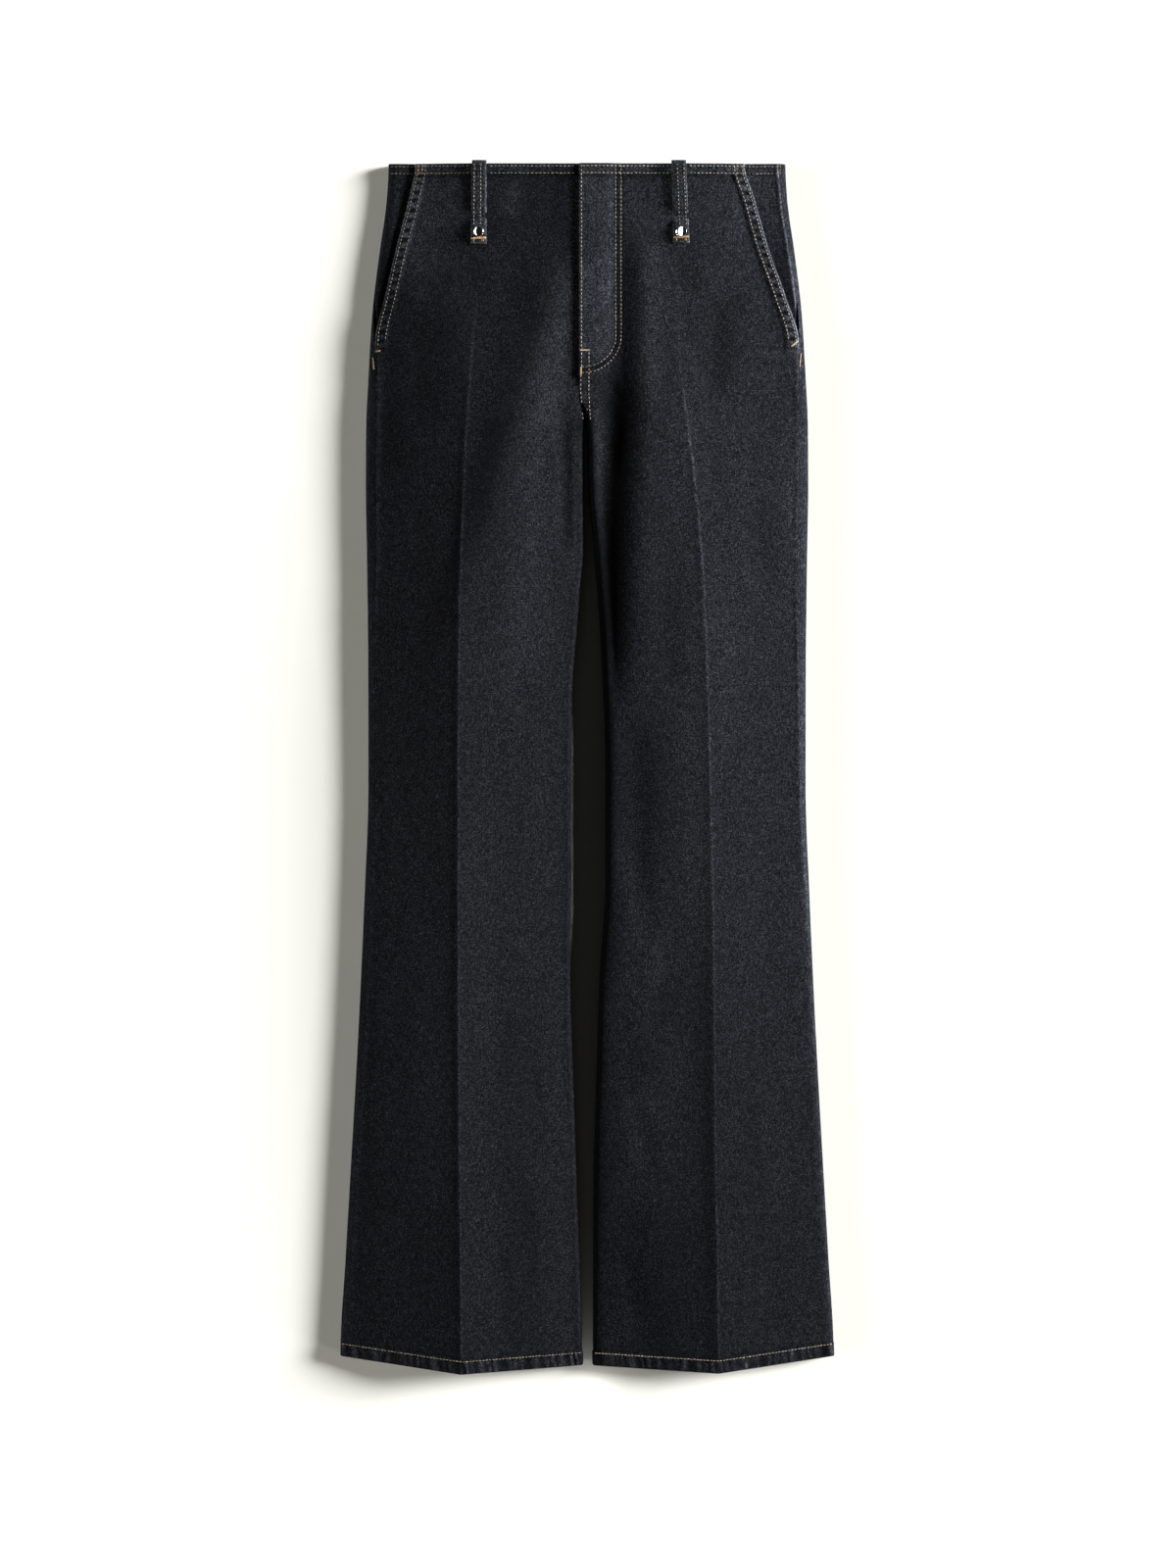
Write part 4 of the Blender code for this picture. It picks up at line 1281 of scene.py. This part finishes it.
# The top end is turned in, in two steps down
LOOP_END_FALLS = (3.0, 5.5)
LOOP_EDGE_FALL = 0.85
LOOP_GROOVE = 0.22
LOOP_GROOVE_PLACE = 0.42


def loop_line(side):
    """The middle line of a belt loop's top face, as (x, y, height, width), read off its solid."""
    node = "belt_loop_" + side
    low, high = (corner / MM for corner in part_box(node))
    loop = LOOPS[side]
    tree = BVHTree.FromObject(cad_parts[node], bpy.context.evaluated_depsgraph_get())
    found = []
    for k in range(LOOP_STEPS + 1):
        y = mix(low.y + 0.02, high.y - 0.05, k / LOOP_STEPS)
        share = min(max((WAIST_Y - y) / loop["length"], 0), 1)
        x = mix(loop["top_x"], loop["bottom_x"], share)
        point, _, _, _ = tree.ray_cast(Vector((x, y, 100)) * MM, Vector((0, 0, -1)))
        if point is not None:
            found.append((x, y, point.z / MM, mix(loop["top_width"], loop["bottom_width"], share)))
    return np.array(found)


def loop_course(side):
    """The rows of a loop as (x, y, height, width): smoothed, pressed down, and turned in on top."""
    x, y, height, width = loop_line(side).T
    padded = np.concatenate([[height[0]] * 2, height, [height[-1]] * 2])
    height = np.convolve(padded, np.array([1, 2, 3, 2, 1]) / 9, mode="valid")
    from_top = smooth((WAIST_Y - y - 1) / 9)
    from_stud = smooth((y - WAIST_Y + LOOP_STUD_DROP) / 10)
    rows = list(zip(x, y, height - LOOP_PRESS * from_top * from_stud, width))
    rows += [(x[-1], y[-1] + 0.01, height[-1] - fall, width[-1]) for fall in LOOP_END_FALLS]
    return np.array(rows[::-1])


def make_loop(side, cloth, lining):
    """A doubled strip with soft folded edges, as a thin shell round its solid's course."""
    x, y, height, width = loop_course(side).T[..., None]
    t = np.linspace(-1, 1, LOOP_COLUMNS + 1)
    along = WAIST_Y - y
    ripple = 0.12 * np.sin(along * 1.9) + 0.1 * np.sin(along * 0.83 + 1)
    across = t * width / 2 + 0.1 * np.sin(along * 2.3 + 2 * t)
    sunk = LOOP_EDGE_FALL * abs(t) ** 5 + LOOP_GROOVE * bump(abs(t) - LOOP_GROOVE_PLACE, 0.1)
    z = height - sunk + ripple * (1 - abs(t)) - 0.05
    points = np.stack([x + across, y + 0 * across, z], axis=2)
    near_end = np.clip((LOOPS[side]["length"] - along) / 2.0, 0, 1)
    # The folded edges are paler: worn on both, and on the right, lit edge a painted highlight as well; the
    # lower end is paler too
    wear = np.where(t > 0, 0.5, 0.15) * bump(1 - abs(t), 0.1) + 0.05 + 0.35 * (1 - near_end)
    return shell("cloth_belt_loop_" + side, points, 1, wear, 1 + 0 * wear, cloth, lining, wall=LOOP_WALL)


def loop_stitches(side, things, material):
    cloths = Cloth(things["cloth_belt_loop_" + side])
    group = Stitches("stitches_belt_loop_" + side, material)
    loop = LOOPS[side]
    for offset in LOOP_ROWS[side]:
        line = at_drops((loop["top_x"] + offset, 0.5), (loop["bottom_x"] + offset, LOOP_STUD_DROP + 0.5))
        group.row(cloths, line, 0.1, 0.5, pitch=3.5, length=1.9)
    low_y = WAIST_Y - loop["length"] + 4.6
    half = loop["bottom_width"] / 2 - 0.7
    start, end = (loop["bottom_x"] - half, low_y), (loop["bottom_x"] + half, low_y + 0.6)
    group.tack(cloths, start, end, 1.9, 0.8, 0.9)
    for share in (-0.3, 0.22, 0.3):
        x = loop["bottom_x"] + share * loop["bottom_width"]
        group.row(cloths, [(x, low_y - 0.6), (x, low_y - 3.4)], 0.85, 0.7, pitch=2.6, length=2.4)
    return group.done()


# The rolled rim as (radius, height), from the foot up; the dome stands on it
STUD_PROFILE = ((4.4, -1.2), (4.5, -0.02), (4.95, 0.1), (5.1, 0.4), (5.05, 0.75))
DOME_RADIUS = 4.95
DOME_FOOT = 0.95
STUD_SEGMENTS = 48
STUD_SHARP_ANGLE = 50
DOME_STEPS = 10
STUD_TOP_SHIFT = {"right": 0.0, "left": 1.6}
STUD_SLOPE = {"right": 0.0, "left": 0.28}


def make_stud(side, material):
    """A turned cap with a rolled rim and a low dome, a little tilted."""
    low, high = (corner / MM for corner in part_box("stud_" + side))
    centre = (low + high) / 2
    height = high.z - low.z
    profile = list(STUD_PROFILE)
    for k in range(DOME_STEPS):
        angle = math.pi / 2 * k / DOME_STEPS
        up = DOME_FOOT + (height - DOME_FOOT) * math.sin(angle)
        profile.append((DOME_RADIUS * math.cos(angle), up))
    shift = STUD_TOP_SHIFT[side]
    vertices = []
    for radius, up in profile:
        away = shift * max(up - DOME_FOOT, 0) / (height - DOME_FOOT)
        for k in range(STUD_SEGMENTS):
            turn = 2 * math.pi * k / STUD_SEGMENTS
            x, y = radius * math.cos(turn), radius * math.sin(turn)
            tilt = STUD_SLOPE[side] * x
            vertices.append(Vector((centre.x + x + away, centre.y + y, low.z + up + tilt)) * MM)
    faces = ring_faces(0, len(profile), STUD_SEGMENTS)
    tip = len(vertices)
    vertices.append(Vector((centre.x + shift, centre.y, high.z)) * MM)
    last = tip - STUD_SEGMENTS
    faces += [(last + k, last + (k + 1) % STUD_SEGMENTS, tip) for k in range(STUD_SEGMENTS)]
    mesh = bpy.data.meshes.new("cap_stud_" + side)
    mesh.from_pydata(vertices, [], faces)
    mesh.shade_smooth()
    mesh.set_sharp_from_angle(angle=math.radians(STUD_SHARP_ANGLE))
    return new_object("cap_stud_" + side, mesh, material)


# ---- floor, light and camera

FLOOR_SIZE = 12.0
FLOOR_GAP = 0.0003
FRAME_CENTRE = (0.0009, -0.01605)
FRAME_LENGTH = 1.44
CAMERA_HEIGHT = 4.0
SENSOR = 36.0
CLOTH_HEIGHT = 0.010
SUNS = named_rows(
    ("turn", "elevation", "spread", "power", "colour"),
    {
        "key": (13, 13.5, 19, 16.2, (0.985, 0.99, 1.0)),
        "fill": (176, 11, 14, 3.3, (1.0, 1.0, 0.97)),
        "foot, right": (205, 4, 4, 2.5, (1.0, 0.97, 0.88)),
        "foot, left": (335, 4, 4, 2.5, (1.0, 0.97, 0.88)),
    },
)
AMBIENT = 0.009
# A small lamp on the floor below the hems lights the lower end of the gap
LOW_LAMP = {"place": (0.0, -0.592, 0.012), "size": 0.012, "power": 0.016}
# A card above the waist that diffuse light leaves out: it gives the studs their highlight
CARD = {"height": 2.2, "tilt": 42, "width": 4.5, "length": 0.9, "power": 48}


def make_floor():
    mesh = bpy.data.meshes.new("floor")
    half = FLOOR_SIZE / 2
    corners = [(-half, -half, 0), (half, -half, 0), (half, half, 0), (-half, half, 0)]
    mesh.from_pydata([(x, y, -FLOOR_GAP) for x, y, _ in corners], [], [(0, 1, 2, 3)])
    floor = new_object("floor", mesh, floor_material())
    floor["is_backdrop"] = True
    return floor


def add_lamp(name, kind, towards, up="Y", place=(0, 0, 0), **settings):
    """A lamp that shines from a direction."""
    lamp = bpy.data.lights.new(name, kind)
    for key, value in settings.items():
        setattr(lamp, key, value)
    thing = bpy.data.objects.new(name, lamp)
    thing.location = place
    thing.rotation_mode = "QUATERNION"
    thing.rotation_quaternion = Vector(towards).to_track_quat("Z", up)
    bpy.context.scene.collection.objects.link(thing)
    return thing


def make_suns():
    """A wide low key from the right of the view, a fill from the left, weak ones from below both."""
    for name, row in SUNS.items():
        turn, up = math.radians(row["turn"]), math.radians(row["elevation"])
        towards = (math.cos(up) * math.cos(turn), math.cos(up) * math.sin(turn), math.sin(up))
        spread = math.radians(row["spread"])
        add_lamp(name, "SUN", towards, energy=row["power"], angle=spread, color=row["colour"])


def make_lamps():
    tilt = math.radians(CARD["tilt"])
    towards = Vector((-math.sin(tilt), 0, math.cos(tilt)))
    place = Vector((0, WAIST_Y * MM, 0)) + towards * CARD["height"]
    sizes = {"shape": "RECTANGLE", "size": CARD["width"], "size_y": CARD["length"]}
    card = add_lamp("glossy_card", "AREA", towards, place=place, energy=CARD["power"], **sizes)
    card.visible_diffuse = False
    card.visible_camera = False
    sizes = {"size": LOW_LAMP["size"], "energy": LOW_LAMP["power"]}
    low = add_lamp("low_lamp", "AREA", (0, -1, 0), up="X", place=LOW_LAMP["place"], **sizes)
    low.visible_camera = False
    low.visible_glossy = False


def make_world():
    world = bpy.data.worlds.new("studio")
    world.use_nodes = True
    background = world.node_tree.nodes["Background"]
    background.inputs["Color"].default_value = (1.0, 0.96, 0.80, 1)
    background.inputs["Strength"].default_value = AMBIENT
    bpy.context.scene.world = world


def make_camera():
    """Straight above the middle of the frame, with up towards the waist."""
    camera = bpy.data.cameras.new("camera")
    camera.sensor_width = SENSOR
    camera.lens = SENSOR * (CAMERA_HEIGHT - CLOTH_HEIGHT) / FRAME_LENGTH
    camera.clip_end = 50
    thing = bpy.data.objects.new("camera", camera)
    thing.location = (*FRAME_CENTRE, CAMERA_HEIGHT)
    bpy.context.scene.collection.objects.link(thing)
    bpy.context.scene.camera = thing


# ---- everything together


def keep(things, thing, slot, *nodes):
    """Fastens a piece to the body, and takes the place of the solids that are named."""
    things[thing.name] = thing
    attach(thing, "root")
    if nodes:
        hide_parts(*nodes)


def make_pieces(things):
    """The cloth, loops and studs, each in the place of its solid."""
    materials = {name: denim(name) for name in CLOTHS}
    cloth, lining = materials["denim"], materials["denim_reverse"]
    nickel = metal_material()
    for side in SIDES:
        keep(things, make_front(side, cloth, lining), "denim", "front_" + side)
        keep(things, make_back(side, materials["denim_back"], lining), "denim", "back_" + side)
        facing = make_facing(side, materials["denim_facing"], lining)
        keep(things, facing, "denim_inside", "pocket_facing_" + side)
        loop = make_loop(side, materials["denim_loop"], materials["denim_loop"])
        keep(things, loop, "denim", "belt_loop_" + side)
        keep(things, make_stud(side, nickel), "stud_metal", "stud_" + side)


def make_stitches(things):
    """All the sewing thread, laid on the cloth that is already in place."""
    thread = thread_material()
    parts = ("front", "back", "pocket_facing")
    cloths = Cloth(*(things["cloth_" + part + "_" + side] for part in parts for side in SIDES))
    groups = [waist_stitches(cloths, thread), fly_stitches(cloths, thread)]
    for side in SIDES:
        groups.append(pocket_stitches(side, cloths, thread))
        groups.append(hem_stitches(side, cloths, thread))
        groups.append(loop_stitches(side, things, thread))
    groups.append(tacks(cloths, thread))
    for group in groups:
        keep(things, group, "denim")


def main():
    make_camera()
    make_suns()
    make_lamps()
    make_world()
    make_floor()
    bpy.context.scene.view_settings.view_transform = "Standard"
    things = {}
    make_pieces(things)
    make_stitches(things)


main()
SHOWN_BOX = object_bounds()
boxes = {"cad": CAD_BOX, "shown": SHOWN_BOX}
{name: [list(corner) for corner in box] for name, box in boxes.items()}
